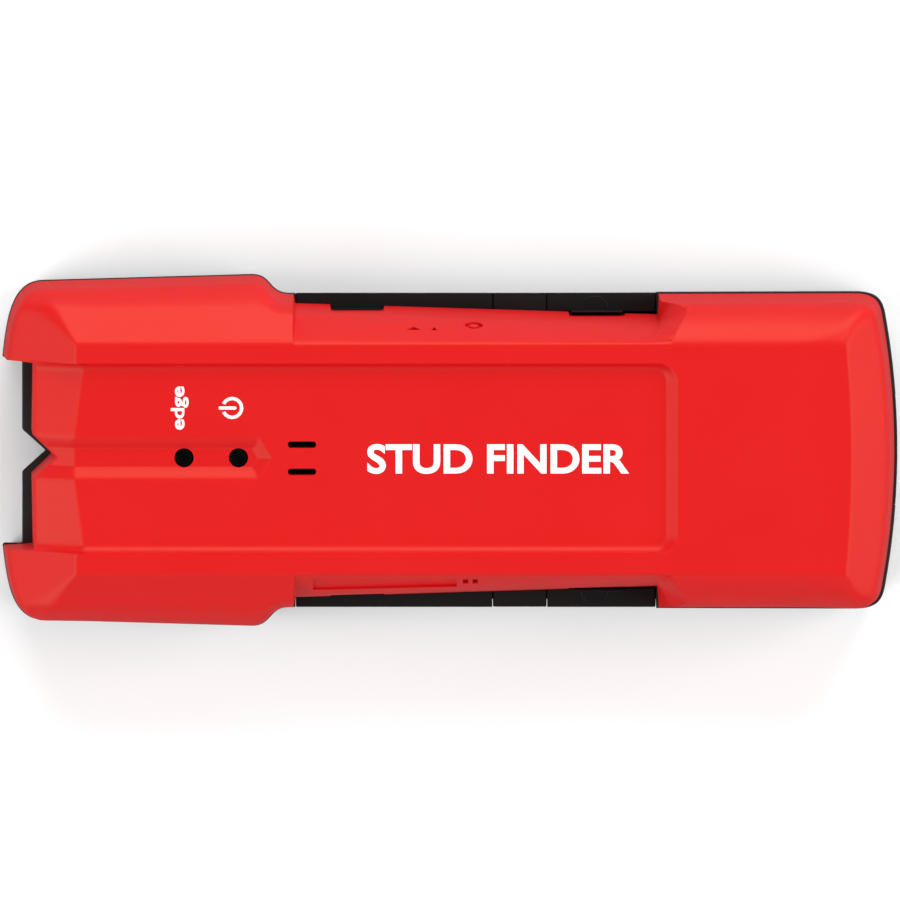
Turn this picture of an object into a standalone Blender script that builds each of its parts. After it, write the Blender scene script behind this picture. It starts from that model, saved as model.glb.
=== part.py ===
"""A hand-held stud finder: red top housing, black base, side power keys, sliding battery door,
and the circuit board, sounder, lights and 9 V battery that it holds inside.
Sizes are in millimetres and become metres when a mesh is made. The marking notch points to -X,
the scan face lies on Z = 0, and right is +Y."""

import math

import bmesh
import bpy
from mathutils import Matrix, Vector

MM = 0.001
GAP = 0.3

# Plan outline of the base, which is also the outline of the whole object
FRONT_X = -75.7
TIP_X = -79.25
REAR_X = 79.25
NOTCH_APEX_X = -71.6
NOTCH_HALF = 3.7
HORN_IN = 16.4
WING_HALF = 31.25
WAIST_HALF = 27.9
REAR_HALF = 28.2
WAIST_FROM = -27.6
WAIST_TO = 36.7
AHEAD_X = -85.0
BEHIND_X = 90.0

# Heights
FLOOR = 2.0
PARTING = 12.0
BASE_DRAFT = 1.0
TOP_Z = 33.0
PANEL_Z = 31.6
GROOVE_Z = 30.6
ABOVE_Z = 36.0

# Flat top of the red housing
DECK_FRONT = -66.0
DECK_REAR = 70.9
NOSE_TOP = -64.0
RAIL_OUT = 20.5
RAIL_IN = 16.75
PANEL_HALF = 16.45
PANEL_REAR = 38.2
PANEL_RAMP = 40.1
GROOVE_FLOOR = 1.65
GROOVE_HALF = 3.85
GROOVE_END = -33.9
GROOVE_TIP = -31.5

# What shows in the groove and the panel
LIGHT_X = {"edge": -46.9, "power": -37.3}
LIGHT_R = 1.7
SLOT_X = (-28.6, -23.6)
SLOT_Y = 2.4
SLOT_HALF = 0.5

# Side keys and the grips round them
KEY_FROM = 7.3
KEY_TO = 17.4
KEY_Z = (3.4, 11.8)
GRIP_IN = 24.5
BASE_WAIST_OUT = 24.2
BASE_WAIST_IN = 22.2
TABS = ((-21.0, -11.8), (21.1, 30.9))
TAB_TOP = 14.6

# Board
BOARD_Z = (4.5, 6.1)
BOARD_X = (-66.0, 16.5)
BOARD_HALF = 18.0
PARTS_Z = BOARD_Z[1] + GAP
SWITCH_TOP = 10.2

# Battery, its bay and its door
BATTERY_X = (24.5, 71.0)
BATTERY_HALF = 13.1
BATTERY_Z = (3.9, 21.3)
DOOR_FROM = 19.0
DOOR_HALF = 15.2
DOOR_TONGUE = 16.9
DOOR_LIP_HALF = 9.7
DOOR_LIP_IN = 76.9

SCREWS = ((-58.0, 22.5), (-58.0, -22.5), (65.5, 21.6), (65.5, -21.6))
BOARD_SCREWS = ((-61.0, 0.0), (4.0, 0.0))


def clear_scene():
    for obj in list(bpy.data.objects):
        bpy.data.objects.remove(obj, do_unlink=True)


def material(name, colour, roughness=0.5, metallic=0.0):
    found = bpy.data.materials.get(name)
    if found:
        return found
    made = bpy.data.materials.new(name)
    made.use_nodes = True
    shader = made.node_tree.nodes["Principled BSDF"]
    shader.inputs["Base Color"].default_value = (*colour, 1.0)
    shader.inputs["Roughness"].default_value = roughness
    shader.inputs["Metallic"].default_value = metallic
    return made


def red_plastic():
    return material("red_plastic", (0.78, 0.022, 0.022), 0.42)


def black_plastic():
    return material("black_plastic", (0.016, 0.016, 0.017), 0.5)


def soft_black():
    return material("soft_black", (0.02, 0.02, 0.021), 0.7)


def steel():
    return material("steel", (0.55, 0.55, 0.56), 0.3, 1.0)


# Mesh helpers


def new_object(name, vertices, faces, finish=None, helper=False, smooth=False):
    mesh = bpy.data.meshes.new(name)
    mesh.from_pydata([Vector(v) * MM for v in vertices], [], faces)
    work = bmesh.new()
    work.from_mesh(mesh)
    bmesh.ops.remove_doubles(work, verts=work.verts, dist=0.000002)
    bmesh.ops.recalc_face_normals(work, faces=work.faces)
    if sum(f.calc_center_median().dot(f.normal) * f.calc_area() for f in work.faces) < 0:
        bmesh.ops.reverse_faces(work, faces=work.faces)
    work.to_mesh(mesh)
    work.free()
    obj = bpy.data.objects.new(name, mesh)
    bpy.context.scene.collection.objects.link(obj)
    if finish:
        mesh.materials.append(finish)
    if smooth:
        mesh.shade_smooth()
        mesh.set_sharp_from_angle(angle=math.radians(35))
    if helper:
        obj.hide_render = True
        obj.display_type = "WIRE"
    return obj


def stack(rings):
    """Vertices and faces of a closed solid through rings that hold the same number of points."""
    count = len(rings[0])
    vertices = [point for ring in rings for point in ring]
    faces = [tuple(range(count)), tuple(range(len(vertices) - count, len(vertices)))]
    for level in range(len(rings) - 1):
        for k in range(count):
            after = (k + 1) % count
            low = level * count
            high = low + count
            faces.append((low + k, low + after, high + after, high + k))
    return vertices, faces


def prism(name, outline, low, high, finish=None, helper=False):
    rings = [[(x, y, z) for x, y in outline] for z in (low, high)]
    return new_object(name, *stack(rings), finish, helper)


def box(name, x, y, z, finish=None, helper=False):
    outline = [(x[0], y[0]), (x[1], y[0]), (x[1], y[1]), (x[0], y[1])]
    return prism(name, outline, z[0], z[1], finish, helper)


def turned(name, profile, centre, finish=None, helper=False, sides=24, turn=None):
    """A round solid about a vertical axis through centre, from (radius, height) pairs."""
    angles = [2 * math.pi * k / sides for k in range(sides)]
    rings = [[Vector((r * math.cos(a), r * math.sin(a), z)) for a in angles] for r, z in profile]
    if turn:
        rings = [[turn @ point for point in ring] for ring in rings]
    rings = [[tuple(point + Vector(centre)) for point in ring] for ring in rings]
    return new_object(name, *stack(rings), finish, helper, smooth=True)


def boolean(target, other, operation="DIFFERENCE"):
    change = target.modifiers.new(other.name, "BOOLEAN")
    change.operation = operation
    change.solver = "EXACT"
    change.object = other


def cut(target, *cutters):
    for cutter in cutters:
        boolean(target, cutter)


def join(target, *others):
    for other in others:
        boolean(target, other, "UNION")


def bezier(p0, p1, p2, p3, count):
    """Points of a cubic curve, without its first one."""
    made = []
    for k in range(1, count + 1):
        t = k / count
        weights = ((1 - t) ** 3, 3 * t * (1 - t) ** 2, 3 * t * t * (1 - t), t**3)
        made.append(tuple(sum(w * p[i] for w, p in zip(weights, (p0, p1, p2, p3))) for i in (0, 1)))
    return made


# Outlines


def wing_front(count):
    """The outer edge of a wing from its inner tip corner round to its straight side."""
    start = (TIP_X, HORN_IN + 1.2)
    return [start] + bezier(start, (-78.4, 24.6), (-77.0, 30.1), (-72.0, 30.2), count)


def shoulder(count):
    """The S-curve where a wing narrows to the waist."""
    start = (-35.0, WING_HALF)
    return [start] + bezier(start, (-31.4, 31.2), (-32.2, 28.0), (-28.4, WAIST_HALF), count)


def rear_corner(count):
    start = (71.5, REAR_HALF)
    return [start] + bezier(start, (75.4, 28.2), (76.6, 27.0), (77.1, 23.9), count)


def rear_bow(y):
    return REAR_X - y * y / 266.0


def half_outline():
    """The outline on the +Y side, from the notch's apex at the front to the middle of the rear."""
    points = [(NOTCH_APEX_X, 0.0), (FRONT_X, NOTCH_HALF), (FRONT_X, HORN_IN), (TIP_X, HORN_IN)]
    points += wing_front(8) + shoulder(6) + rear_corner(5)
    points += [(rear_bow(y), y) for y in (18.0, 12.0, 6.0, 0.0)]
    return points


def mirrored(half):
    """A closed outline from its +Y half, whose two ends lie on the X axis."""
    return half + [(x, -y) for x, y in reversed(half[1:-1])]


def inset(outline, amount):
    """The outline moved inwards by amount, corner by corner."""
    count = len(outline)
    area = sum(
        outline[k][0] * outline[(k + 1) % count][1] - outline[(k + 1) % count][0] * outline[k][1]
        for k in range(count)
    )
    side = 1 if area > 0 else -1
    made = []
    for k in range(count):
        before, here, after = (Vector(outline[(k + step) % count]) for step in (-1, 0, 1))
        first = (here - before).normalized()
        second = (after - here).normalized()
        normals = [Vector((-d.y, d.x)) * side for d in (first, second)]
        bisector = (normals[0] + normals[1]).normalized()
        reach = amount / max(bisector.dot(normals[0]), 0.35)
        made.append(tuple(here + bisector * reach))
    return made


def draft(z):
    """How far the base's sides have leaned in at height z, from none at the parting line."""
    return BASE_DRAFT * (PARTING - z) / PARTING


# Top housing


def section_heights(kind):
    """How a wall falls from the flat top to the rim: (share of the way out, height) pairs."""
    falls = {
        "wing": ((0.0, TOP_Z), (0.78, 26.8), (0.95, 23.4), (1.0, 19.5)),
        "horn": ((0.0, TOP_Z), (0.5, 26.5), (0.93, 18.2), (1.0, 15.5)),
        "nose": ((0.0, TOP_Z), (0.5, 28.8), (0.95, 25.6), (1.0, 24.6)),
        "groove": ((0.0, TOP_Z), (0.5, 27.9), (0.95, 24.9), (1.0, 24.0)),
        "waist": ((0.0, TOP_Z), (0.73, 26.5), (0.87, 19.5), (0.95, 15.0)),
        "rear": ((0.0, TOP_Z), (0.85, 28.0), (0.97, 25.6), (1.0, 22.0)),
    }
    return falls[kind] + ((1.0, PARTING + GAP),)


def waist_rim(x):
    """Half-width of the red wall's lower edge along the waist."""
    return 26.1 - 2.0 * (x - WAIST_FROM) / (WAIST_TO - WAIST_FROM)


def border():
    """Round the +Y half of the flat top: (point on it, point of the rim below, kind of wall)."""
    rows = []
    notch = ((0.0, -70.1), (GROOVE_FLOOR, -71.8), (GROOVE_HALF, -74.05))
    for y, x in notch:
        kind = "groove" if y < GROOVE_HALF else "nose"
        rows.append(((NOSE_TOP, y), (x, y), kind))
    rows += [((NOSE_TOP, 9.0), (-73.9, 9.0), "nose"), ((NOSE_TOP, PANEL_HALF), (-73.9, 16.3), "nose")]
    horn = inset(mirrored(half_outline()), 0.2)[3:13]
    tops = [(DECK_FRONT, RAIL_IN), (DECK_FRONT, 17.6), (DECK_FRONT, 18.5), (DECK_FRONT, 19.4)]
    tops += [(-65.9, 20.1), (-65.5, RAIL_OUT), (-64.6, RAIL_OUT), (-63.4, RAIL_OUT)]
    tops += [(-61.8, RAIL_OUT), (-60.0, RAIL_OUT)]
    for number, (top, rim) in enumerate(zip(tops, horn)):
        rows.append((top, rim, "horn" if number < 6 else "wing"))
    for x, y in [(-50.0, 30.55)] + [(x, y - 0.2) for x, y in shoulder(6)]:
        rows.append(((x, RAIL_OUT), (x, y), "wing"))
    for x in (WAIST_FROM, 4.0, WAIST_TO):
        rows.append(((x, RAIL_OUT), (x, waist_rim(x)), "waist"))
    for x in (WAIST_TO + 0.5, 50.0, 62.0):
        rows.append(((x, RAIL_OUT), (x, REAR_HALF - 0.3), "rear"))
    corner = [(x - 0.35, y - 0.3) for x, y in rear_corner(5)]
    tops = [(67.0, 20.5), (68.4, 20.5), (69.4, 20.2), (69.9, 19.5), (70.1, 18.6), (70.2, 17.4)]
    rows += [(top, rim, "rear") for top, rim in zip(tops, corner)]
    for y in (9.0, 0.0):
        rows.append(((DECK_REAR - y * y / 420.0, y), (rear_bow(y * 1.3) - 0.6, y * 1.3), "rear"))
    return rows


def top_outer():
    """The outer form of the red housing as one closed solid."""
    half = border()
    loop = half + [((t[0], -t[1]), (r[0], -r[1]), k) for t, r, k in reversed(half[1:-1])]
    rings = []
    for level in range(5):
        ring = []
        for top, rim, kind in loop:
            share, height = section_heights(kind)[level]
            x, y = (t + (r - t) * share for t, r in zip(top, rim))
            ring.append((x, y, height))
        rings.append(ring)
    return new_object("top_housing", *stack(rings), red_plastic())


def channel():
    """What is taken off the top for the recessed panel, its open front and the wings' inner walls."""
    ramp_run = (PANEL_RAMP - PANEL_REAR) / (TOP_Z - PANEL_Z)
    rings = []
    for low_x, high_x in ((AHEAD_X, AHEAD_X), (PANEL_REAR, PANEL_REAR + ramp_run * (ABOVE_Z - PANEL_Z))):
        ring = [(low_x, -PANEL_HALF, PANEL_Z), (low_x, PANEL_HALF, PANEL_Z)]
        ring += [(high_x, RAIL_IN, ABOVE_Z), (high_x, -RAIL_IN, ABOVE_Z)]
        rings.append(ring)
    return new_object("cut_channel", *stack(rings), None, True)


def groove():
    """What is taken off the panel's floor for the central groove and its pointed end."""
    ends = ((-68.0, GROOVE_FLOOR, GROOVE_HALF), (GROOVE_END, GROOVE_FLOOR, GROOVE_HALF))
    ends += ((GROOVE_TIP, 0.2, 0.6),)
    rings = []
    for x, floor, edge in ends:
        low = GROOVE_Z if x < GROOVE_TIP else PANEL_Z - 0.1
        grow = 1.0 + (34.0 - low) / (PANEL_Z + 0.02 - low) if x < GROOVE_TIP else 1.5
        wide = floor + (edge - floor) * grow
        rings.append([(x, -floor, low), (x, floor, low), (x, wide, 34.0), (x, -wide, 34.0)])
    return new_object("cut_groove", *stack(rings), None, True)


def chamber(name, front, rear, low_half, top_half, ceiling, step=19.5, front_in=0.0, rear_in=0.0):
    """A tapered hollow: straight up to step, then leaning in to the ceiling."""
    rings = []
    for z, half, a, b in (
        (PARTING - 2.0, low_half, 0.0, 0.0),
        (step, low_half, 0.0, 0.0),
        (ceiling, top_half, front_in, rear_in),
    ):
        rings.append([(front + a, -half, z), (rear - b, -half, z), (rear - b, half, z), (front + a, half, z)])
    return new_object(name, *stack(rings), None, True)


def boss_cylinders(prefix, radius, low, high, helper=True):
    made = []
    for number, (x, y) in enumerate(SCREWS):
        shape = ((radius, low), (radius, high))
        made.append(turned(f"{prefix}_{number}", shape, (x, y, 0), None, helper, 16))
    return made


def make_top_housing():
    top = top_outer()
    cut(top, channel())
    cut(top, groove())
    cut(top, chamber("cut_wing_bay", -67.5, -30.5, 27.6, 17.6, 28.0, 18.0, 6.0, 0.0))
    cut(top, chamber("cut_waist_bay", -31.5, 38.5, 21.6, 18.6, 28.4, 14.0))
    cut(top, chamber("cut_rear_bay", 38.0, 75.5, 25.3, 18.0, 29.0, 21.0, 0.0, 5.5))
    join(top, *boss_cylinders("boss_top", 3.2, PARTING + GAP, 26.4))
    cut(top, *boss_cylinders("pilot_top", 1.6, PARTING - 1.0, 24.0))
    for name, x in LIGHT_X.items():
        shape = ((LIGHT_R + 0.1, 20.0), (LIGHT_R + 0.1, ABOVE_Z))
        cut(top, turned(f"cut_{name}_window", shape, (x, 0, 0), None, True, 20))
    for side in (-1, 1):
        low, high = sorted((side * (SLOT_Y - SLOT_HALF), side * (SLOT_Y + SLOT_HALF)))
        cut(top, box(f"cut_slot_{side}", SLOT_X, (low, high), (20.0, ABOVE_Z), None, True))
        for number, (start, end) in enumerate(TABS):
            y = sorted((side * (BASE_WAIST_OUT - 0.3), side * 30.0))
            rise = (PARTING - 1.0, TAB_TOP + GAP)
            cut(top, box(f"cut_tab_{number}_{side}", (start, end), y, rise, None, True))
    return top


# Base housing


def base_cavity():
    """The inside of the base, narrower along the waist, where the grips lie outside its wall."""
    half = [(-69.2, 0.0), (-70.4, 1.1), (-73.3, 4.8), (-73.3, 18.0), (-76.3, 18.4), (-75.0, 24.5)]
    half += [(-73.2, 27.6), (-71.6, 28.2), (-36.0, 29.0), (-33.0, 26.4), (-30.0, BASE_WAIST_IN)]
    half += [(39.0, BASE_WAIST_IN), (41.0, 26.0), (71.5, 26.2), (74.4, 25.0), (75.4, 22.8)]
    half += [(rear_bow(12.0) - 2.2, 12.0), (REAR_X - 2.2, 0.0)]
    return prism("cut_base_cavity", mirrored(half), FLOOR, 20.0, None, True)


def make_base_housing():
    outline = mirrored(half_outline())
    rings = [[(x, y, z) for x, y in inset(outline, draft(z))] for z in (0.0, PARTING)]
    base = new_object("base_housing", *stack(rings), black_plastic())
    cut(base, base_cavity())
    for side in (-1, 1):
        y = sorted((side * BASE_WAIST_OUT, side * 40.0))
        waist = (WAIST_FROM, WAIST_TO)
        cut(base, box(f"cut_grip_{side}", waist, y, (FLOOR, 20.0), None, True))
        y = sorted((side * 20.0, side * 26.0))
        window = (KEY_FROM, KEY_TO)
        cut(base, box(f"cut_key_{side}", window, y, (KEY_Z[0] - GAP, 20.0), None, True))
        y = sorted((side * 18.0, side * 19.2))
        join(base, box(f"rib_bay_{side}", (22.0, 72.0), y, (1.0, 11.0), None, True))
    join(base, *boss_cylinders("boss_base", 3.6, 1.0, PARTING))
    cut(base, *boss_cylinders("hole_base", 1.7, -1.0, 20.0))
    cut(base, *boss_cylinders("seat_base", 3.0, -1.0, 3.0))
    for number, (x, y) in enumerate(BOARD_SCREWS):
        post = ((2.6, 1.0), (2.6, BOARD_Z[0] - GAP))
        join(base, turned(f"post_board_{number}", post, (x, y, 0), None, True, 16))
        hole = ((1.2, 1.5), (1.2, 9.0))
        cut(base, turned(f"hole_post_{number}", hole, (x, y, 0), None, True, 12))
    wide = DOOR_HALF + GAP
    cut(base, box("cut_door", (DOOR_FROM, BEHIND_X), (-wide, wide), (-1.0, FLOOR + 0.1), None, True))
    rear = (74.0, BEHIND_X)
    wide = DOOR_TONGUE + GAP
    cut(base, box("cut_tongue_exit", rear, (-wide, wide), (FLOOR - 0.1, BATTERY_Z[0]), None, True))
    lip = DOOR_LIP_HALF + GAP
    cut(base, box("cut_lip", rear, (-lip, lip), (FLOOR, 20.0), None, True))
    return base


def make_grips():
    for side, name in ((1, "right"), (-1, "left")):
        x = (WAIST_FROM + GAP, WAIST_TO - GAP)
        rings = []
        for z in (FLOOR + GAP, PARTING):
            out = WAIST_HALF - draft(z)
            outline = [(x[0], GRIP_IN), (x[1], GRIP_IN), (x[1], out + 0.1), (x[0], out)]
            rings.append([(a, b * side, z) for a, b in outline])
        grip = new_object(f"side_grip_{name}", *stack(rings), soft_black())
        for number, (start, end) in enumerate(TABS):
            y = sorted((side * GRIP_IN, side * 25.2))
            span = (start + GAP, end - GAP)
            tab = box(f"tab_{name}_{number}", span, y, (10.0, TAB_TOP), None, True)
            join(grip, tab)
        y = sorted((side * 20.0, side * 40.0))
        window = (KEY_FROM, KEY_TO)
        cut(grip, box(f"cut_grip_key_{name}", window, y, (KEY_Z[0] - GAP, 20.0), None, True))


def make_keys():
    """Each key is a cap flush with the grip and a flange behind the base wall that stops it."""
    for side, name in ((1, "right"), (-1, "left")):
        start, end = (KEY_FROM + GAP, KEY_TO - GAP)
        rings = []
        for z in KEY_Z:
            out = (WAIST_HALF - draft(z)) * side
            inner = 21.4 * side
            rings.append([(start, inner, z), (end, inner, z), (end, out, z), (start, out, z)])
        key = new_object(f"power_key_{name}", *stack(rings), soft_black())
        y = sorted((side * 20.5, side * 21.6))
        flange = (KEY_FROM - 1.2, KEY_TO + 1.2)
        join(key, box(f"flange_{name}", flange, y, (4.4, 10.8), None, True))


# Board and what is on it


def make_board():
    outline = [(BOARD_X[0], 0.0), (BOARD_X[0], 13.0), (-64.0, BOARD_HALF), (14.5, BOARD_HALF)]
    outline += [(BOARD_X[1], 16.0), (BOARD_X[1], 0.0)]
    green = material("green_board", (0.02, 0.16, 0.06), 0.45)
    board = prism("circuit_board", mirrored(outline), *BOARD_Z, green)
    for number, (x, y) in enumerate(BOARD_SCREWS):
        hole = ((1.5, 0.0), (1.5, 10.0))
        cut(board, turned(f"hole_board_{number}", hole, (x, y, 0), None, True, 12))


def make_sensor_plates():
    copper = material("copper", (0.72, 0.36, 0.2), 0.35, 1.0)
    top = BOARD_Z[0] - GAP
    for side, name in ((1, "right"), (-1, "left")):
        y = sorted((side * 4.0, side * 16.0))
        box(f"sensor_plate_{name}", (-63.0, -20.0), y, (top - 0.5, top), copper)


def make_switches():
    """Side-push switches at the board's edges, with the plungers that the keys press."""
    for side, name in ((1, "right"), (-1, "left")):
        middle = (KEY_FROM + KEY_TO) / 2
        y = sorted((side * 12.8, side * 17.8))
        case = box(f"switch_{name}", (middle - 3.0, middle + 3.0), y, (PARTS_Z, SWITCH_TOP), black_plastic())
        bore = ((1.5, 14.6), (1.5, 19.0))
        lay = Matrix.Rotation(-side * math.pi / 2, 3, "X")
        centre = (middle, 0, 8.3)
        cut(case, turned(f"cut_switch_{name}", bore, centre, None, True, 12, lay))
        white = material("white_nylon", (0.75, 0.75, 0.72), 0.5)
        stem = ((1.2, 15.6), (1.2, 20.2))
        turned(f"switch_plunger_{name}", stem, centre, white, False, 12, lay)


def make_lights():
    """A diode on the board under each window, and the tinted light pipe that reaches the window."""
    smoke = material("smoked_lens", (0.012, 0.012, 0.013), 0.12)
    colours = {"edge": (0.75, 0.06, 0.04), "power": (0.1, 0.6, 0.1)}
    for name, x in LIGHT_X.items():
        clear = material(f"{name}_diode", colours[name], 0.2)
        diode = ((1.9, PARTS_Z), (1.9, 7.4), (1.5, 7.4), (1.5, 9.8), (1.06, 10.86), (0.3, 11.3))
        turned(f"{name}_diode", diode, (x, 0, 0), clear, False, 16)
        pipe = ((2.6, 11.7), (2.6, 13.2), (1.5, 13.6), (1.5, 29.9), (1.1, 30.25), (0.4, 30.4))
        turned(f"{name}_light_pipe", pipe, (x, 0, 0), smoke, False, 16)


def make_sounder():
    x = (SLOT_X[0] + SLOT_X[1]) / 2
    cup = turned("sounder_case", ((6.2, PARTS_Z), (6.2, 14.6)), (x, 0, 0), black_plastic(), False, 20)
    cut(cup, turned("cut_sounder", ((5.2, 7.6), (5.2, 13.4)), (x, 0, 0), None, True, 20))
    cut(cup, turned("cut_sounder_mouth", ((1.4, 12.0), (1.4, 20.0)), (x, 0, 0), None, True, 12))
    brass = material("brass", (0.8, 0.58, 0.25), 0.3, 1.0)
    turned("sounder_disc", ((4.8, 9.6), (4.8, 9.9)), (x, 0, 0), brass, False, 20)


def make_small_parts():
    """Chip, crystal, capacitor, regulator and resistors on the board."""
    dark = material("chip_epoxy", (0.025, 0.025, 0.027), 0.55)
    box("controller_chip", (-14.0, -4.0), (-4.0, 4.0), (PARTS_Z, 8.2), dark)
    half = [(-1.2, 10.0), (-1.0, 11.2), (0.0, 11.8)]
    ends = [(x, y) for x, y in half] + [(1.0, 11.2), (1.2, 10.0), (1.2, -10.0), (-1.2, -10.0)]
    can = [(-18.0 + x * 1.9, 9.0 + y * 0.42) for x, y in ends]
    prism("crystal", can, PARTS_Z, 9.6, steel())
    blue = material("blue_sleeve", (0.04, 0.09, 0.32), 0.4)
    tin = ((3.1, PARTS_Z), (3.1, 15.6), (2.8, 16.0))
    turned("storage_capacitor", tin, (-8.0, -11.0, 0), blue, False, 20)
    box("voltage_regulator", (1.0, 5.6), (8.0, 12.4), (PARTS_Z, 8.0), dark)
    tan = material("resistor_body", (0.62, 0.47, 0.3), 0.5)
    lay = Matrix.Rotation(math.pi / 2, 3, "Y")
    shape = ((0.7, -3.0), (1.1, -2.6), (1.1, 2.6), (0.7, 3.0))
    for number, (x, y) in enumerate(((-52.0, 9.5), (-42.0, 9.5), (-31.0, -12.0)), 1):
        turned(f"resistor_{number}", shape, (x, y, PARTS_Z + 1.1), tan, False, 12, lay)


def make_leads():
    """The two battery leads, from the snap connector to the board, as whole tubes."""
    middle = (BATTERY_Z[0] + BATTERY_Z[1]) / 2
    routes = {
        "lead_red": (1, material("red_lead", (0.7, 0.03, 0.03), 0.45)),
        "lead_black": (-1, material("black_lead", (0.02, 0.02, 0.02), 0.45)),
    }
    for name, (side, finish) in routes.items():
        ends = [(19.2, 4.0, middle - 1.0), (16.6, 4.2, middle - 1.2), (12.8, 5.0, middle - 2.6)]
        ends += [(10.6, 5.8, 9.4), (10.2, 6.0, 7.6), (10.2, 6.0, PARTS_Z + 0.1)]
        points = smooth_route([Vector((x, y * side, z)) for x, y, z in ends], 3)
        curve = bpy.data.curves.new(name, "CURVE")
        curve.dimensions = "3D"
        curve.bevel_depth = 0.65 * MM
        curve.bevel_resolution = 2
        curve.use_fill_caps = True
        spline = curve.splines.new("POLY")
        spline.points.add(len(points) - 1)
        for place, point in zip(spline.points, points):
            place.co = (*(point * MM), 1.0)
        curve.materials.append(finish)
        obj = bpy.data.objects.new(name, curve)
        bpy.context.scene.collection.objects.link(obj)


def smooth_route(points, steps):
    """Points on a Catmull-Rom curve through the given ones."""
    padded = [points[0]] + points + [points[-1]]
    made = []
    for k in range(1, len(padded) - 2):
        a, b, c, d = padded[k - 1 : k + 3]
        for step in range(steps):
            t = step / steps
            made.append(
                0.5 * (2 * b + (c - a) * t + (2 * a - 5 * b + 4 * c - d) * t * t)
                + 0.5 * (3 * b - a - 3 * c + d) * t**3
            )
    return made + [points[-1]]


# Battery and door


def make_battery():
    shell = material("battery_wrap", (0.03, 0.03, 0.035), 0.35)
    z = BATTERY_Z
    radius = 2.4
    outline = []
    corners = ((1, 1, 0), (-1, 1, 1), (-1, -1, 2), (1, -1, 3))
    for sign_y, sign_z, quarter in corners:
        centre = ((BATTERY_HALF - radius) * sign_y, (z[0] + z[1]) / 2 + (8.7 - radius) * sign_z)
        for step in range(4):
            angle = math.pi / 2 * (quarter + step / 3)
            outline.append((centre[0] + radius * math.cos(angle), centre[1] + radius * math.sin(angle)))
    rings = [[(x, y, height) for y, height in outline] for x in BATTERY_X]
    new_object("battery_case", *stack(rings), shell)
    middle = (z[0] + z[1]) / 2
    lay = Matrix.Rotation(-math.pi / 2, 3, "Y")
    plate = BATTERY_X[0] - GAP
    metal = steel()
    positive = ((2.9, 0.0), (2.9, 2.4), (2.6, 2.7))
    turned("battery_stud_positive", positive, (plate, 6.35, middle), metal, False, 16, lay)
    negative = ((3.6, 0.0), (3.6, 0.8), (4.1, 2.7))
    turned("battery_stud_negative", negative, (plate, -6.35, middle), metal, False, 6, lay)
    carrier = box("snap_connector", (19.8, 21.0), (-12.4, 12.4), (middle - 6.0, middle + 6.0), soft_black())
    carrier.modifiers.new("edges", "BEVEL").width = 0.0004


def make_door():
    """Sliding battery door with its tongues, its rear lip and the foam pad on its inner side."""
    half = [(DOOR_FROM + GAP, 0.0), (DOOR_FROM + GAP, DOOR_HALF)]
    half += [(rear_bow(y) - draft(0.0), y) for y in (DOOR_HALF, 10.0, 5.0, 0.0)]
    door = prism("battery_door", mirrored(half), 0.1, FLOOR - 0.1, black_plastic())
    for side in (-1, 1):
        y = sorted((side * (DOOR_HALF - 1.4), side * DOOR_HALF))
        join(door, box(f"door_wall_{side}", (DOOR_FROM + 2.0, 73.0), y, (1.0, 3.4), None, True))
        y = sorted((side * (DOOR_HALF - 0.8), side * DOOR_TONGUE))
        join(door, box(f"door_tongue_{side}", (DOOR_FROM + 2.5, 72.5), y, (FLOOR + GAP, 3.3), None, True))
    rings = []
    for z in (0.6, PARTING - 0.1):
        lip = [(DOOR_LIP_IN, 0.0), (DOOR_LIP_IN, DOOR_LIP_HALF)]
        lip += [(rear_bow(y) - draft(z), y) for y in (DOOR_LIP_HALF, 5.0, 0.0)]
        rings.append([(x, y, z) for x, y in mirrored(lip)])
    join(door, new_object("door_lip", *stack(rings), None, True))
    foam = material("grey_foam", (0.12, 0.12, 0.125), 0.9)
    box("battery_foam", (28.0, 68.0), (-11.0, 11.0), (FLOOR + 0.2, 3.5), foam)


def make_screws():
    shape = ((2.6, 0.8), (2.6, 2.4), (1.3, 2.7), (1.3, 18.0), (0.4, 19.4))
    for number, (x, y) in enumerate(SCREWS, 1):
        screw = turned(f"case_screw_{number}", shape, (x, y, 0), steel(), False, 16)
        for turn in (0, 1):
            along, across = (0.4, 1.5) if turn else (1.5, 0.4)
            spans = ((x - along, x + along), (y - across, y + across), (0.0, 1.7))
            cut(screw, box(f"drive_{number}_{turn}", *spans, None, True))
    head = BOARD_Z[1] + GAP
    shape = ((0.3, 1.9), (0.9, 2.4), (0.9, head), (2.1, head), (2.1, head + 0.8), (1.4, head + 1.4))
    for number, (x, y) in enumerate(BOARD_SCREWS, 1):
        turned(f"board_screw_{number}", shape, (x, y, 0), steel(), False, 12)


clear_scene()
make_top_housing()
make_base_housing()
make_grips()
make_keys()
make_board()
make_sensor_plates()
make_switches()
make_lights()
make_sounder()
make_small_parts()
make_leads()
make_battery()
make_door()
make_screws()
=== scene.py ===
import math

import bmesh
import bpy
import numpy as np
from mathutils import Matrix, Vector


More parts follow.
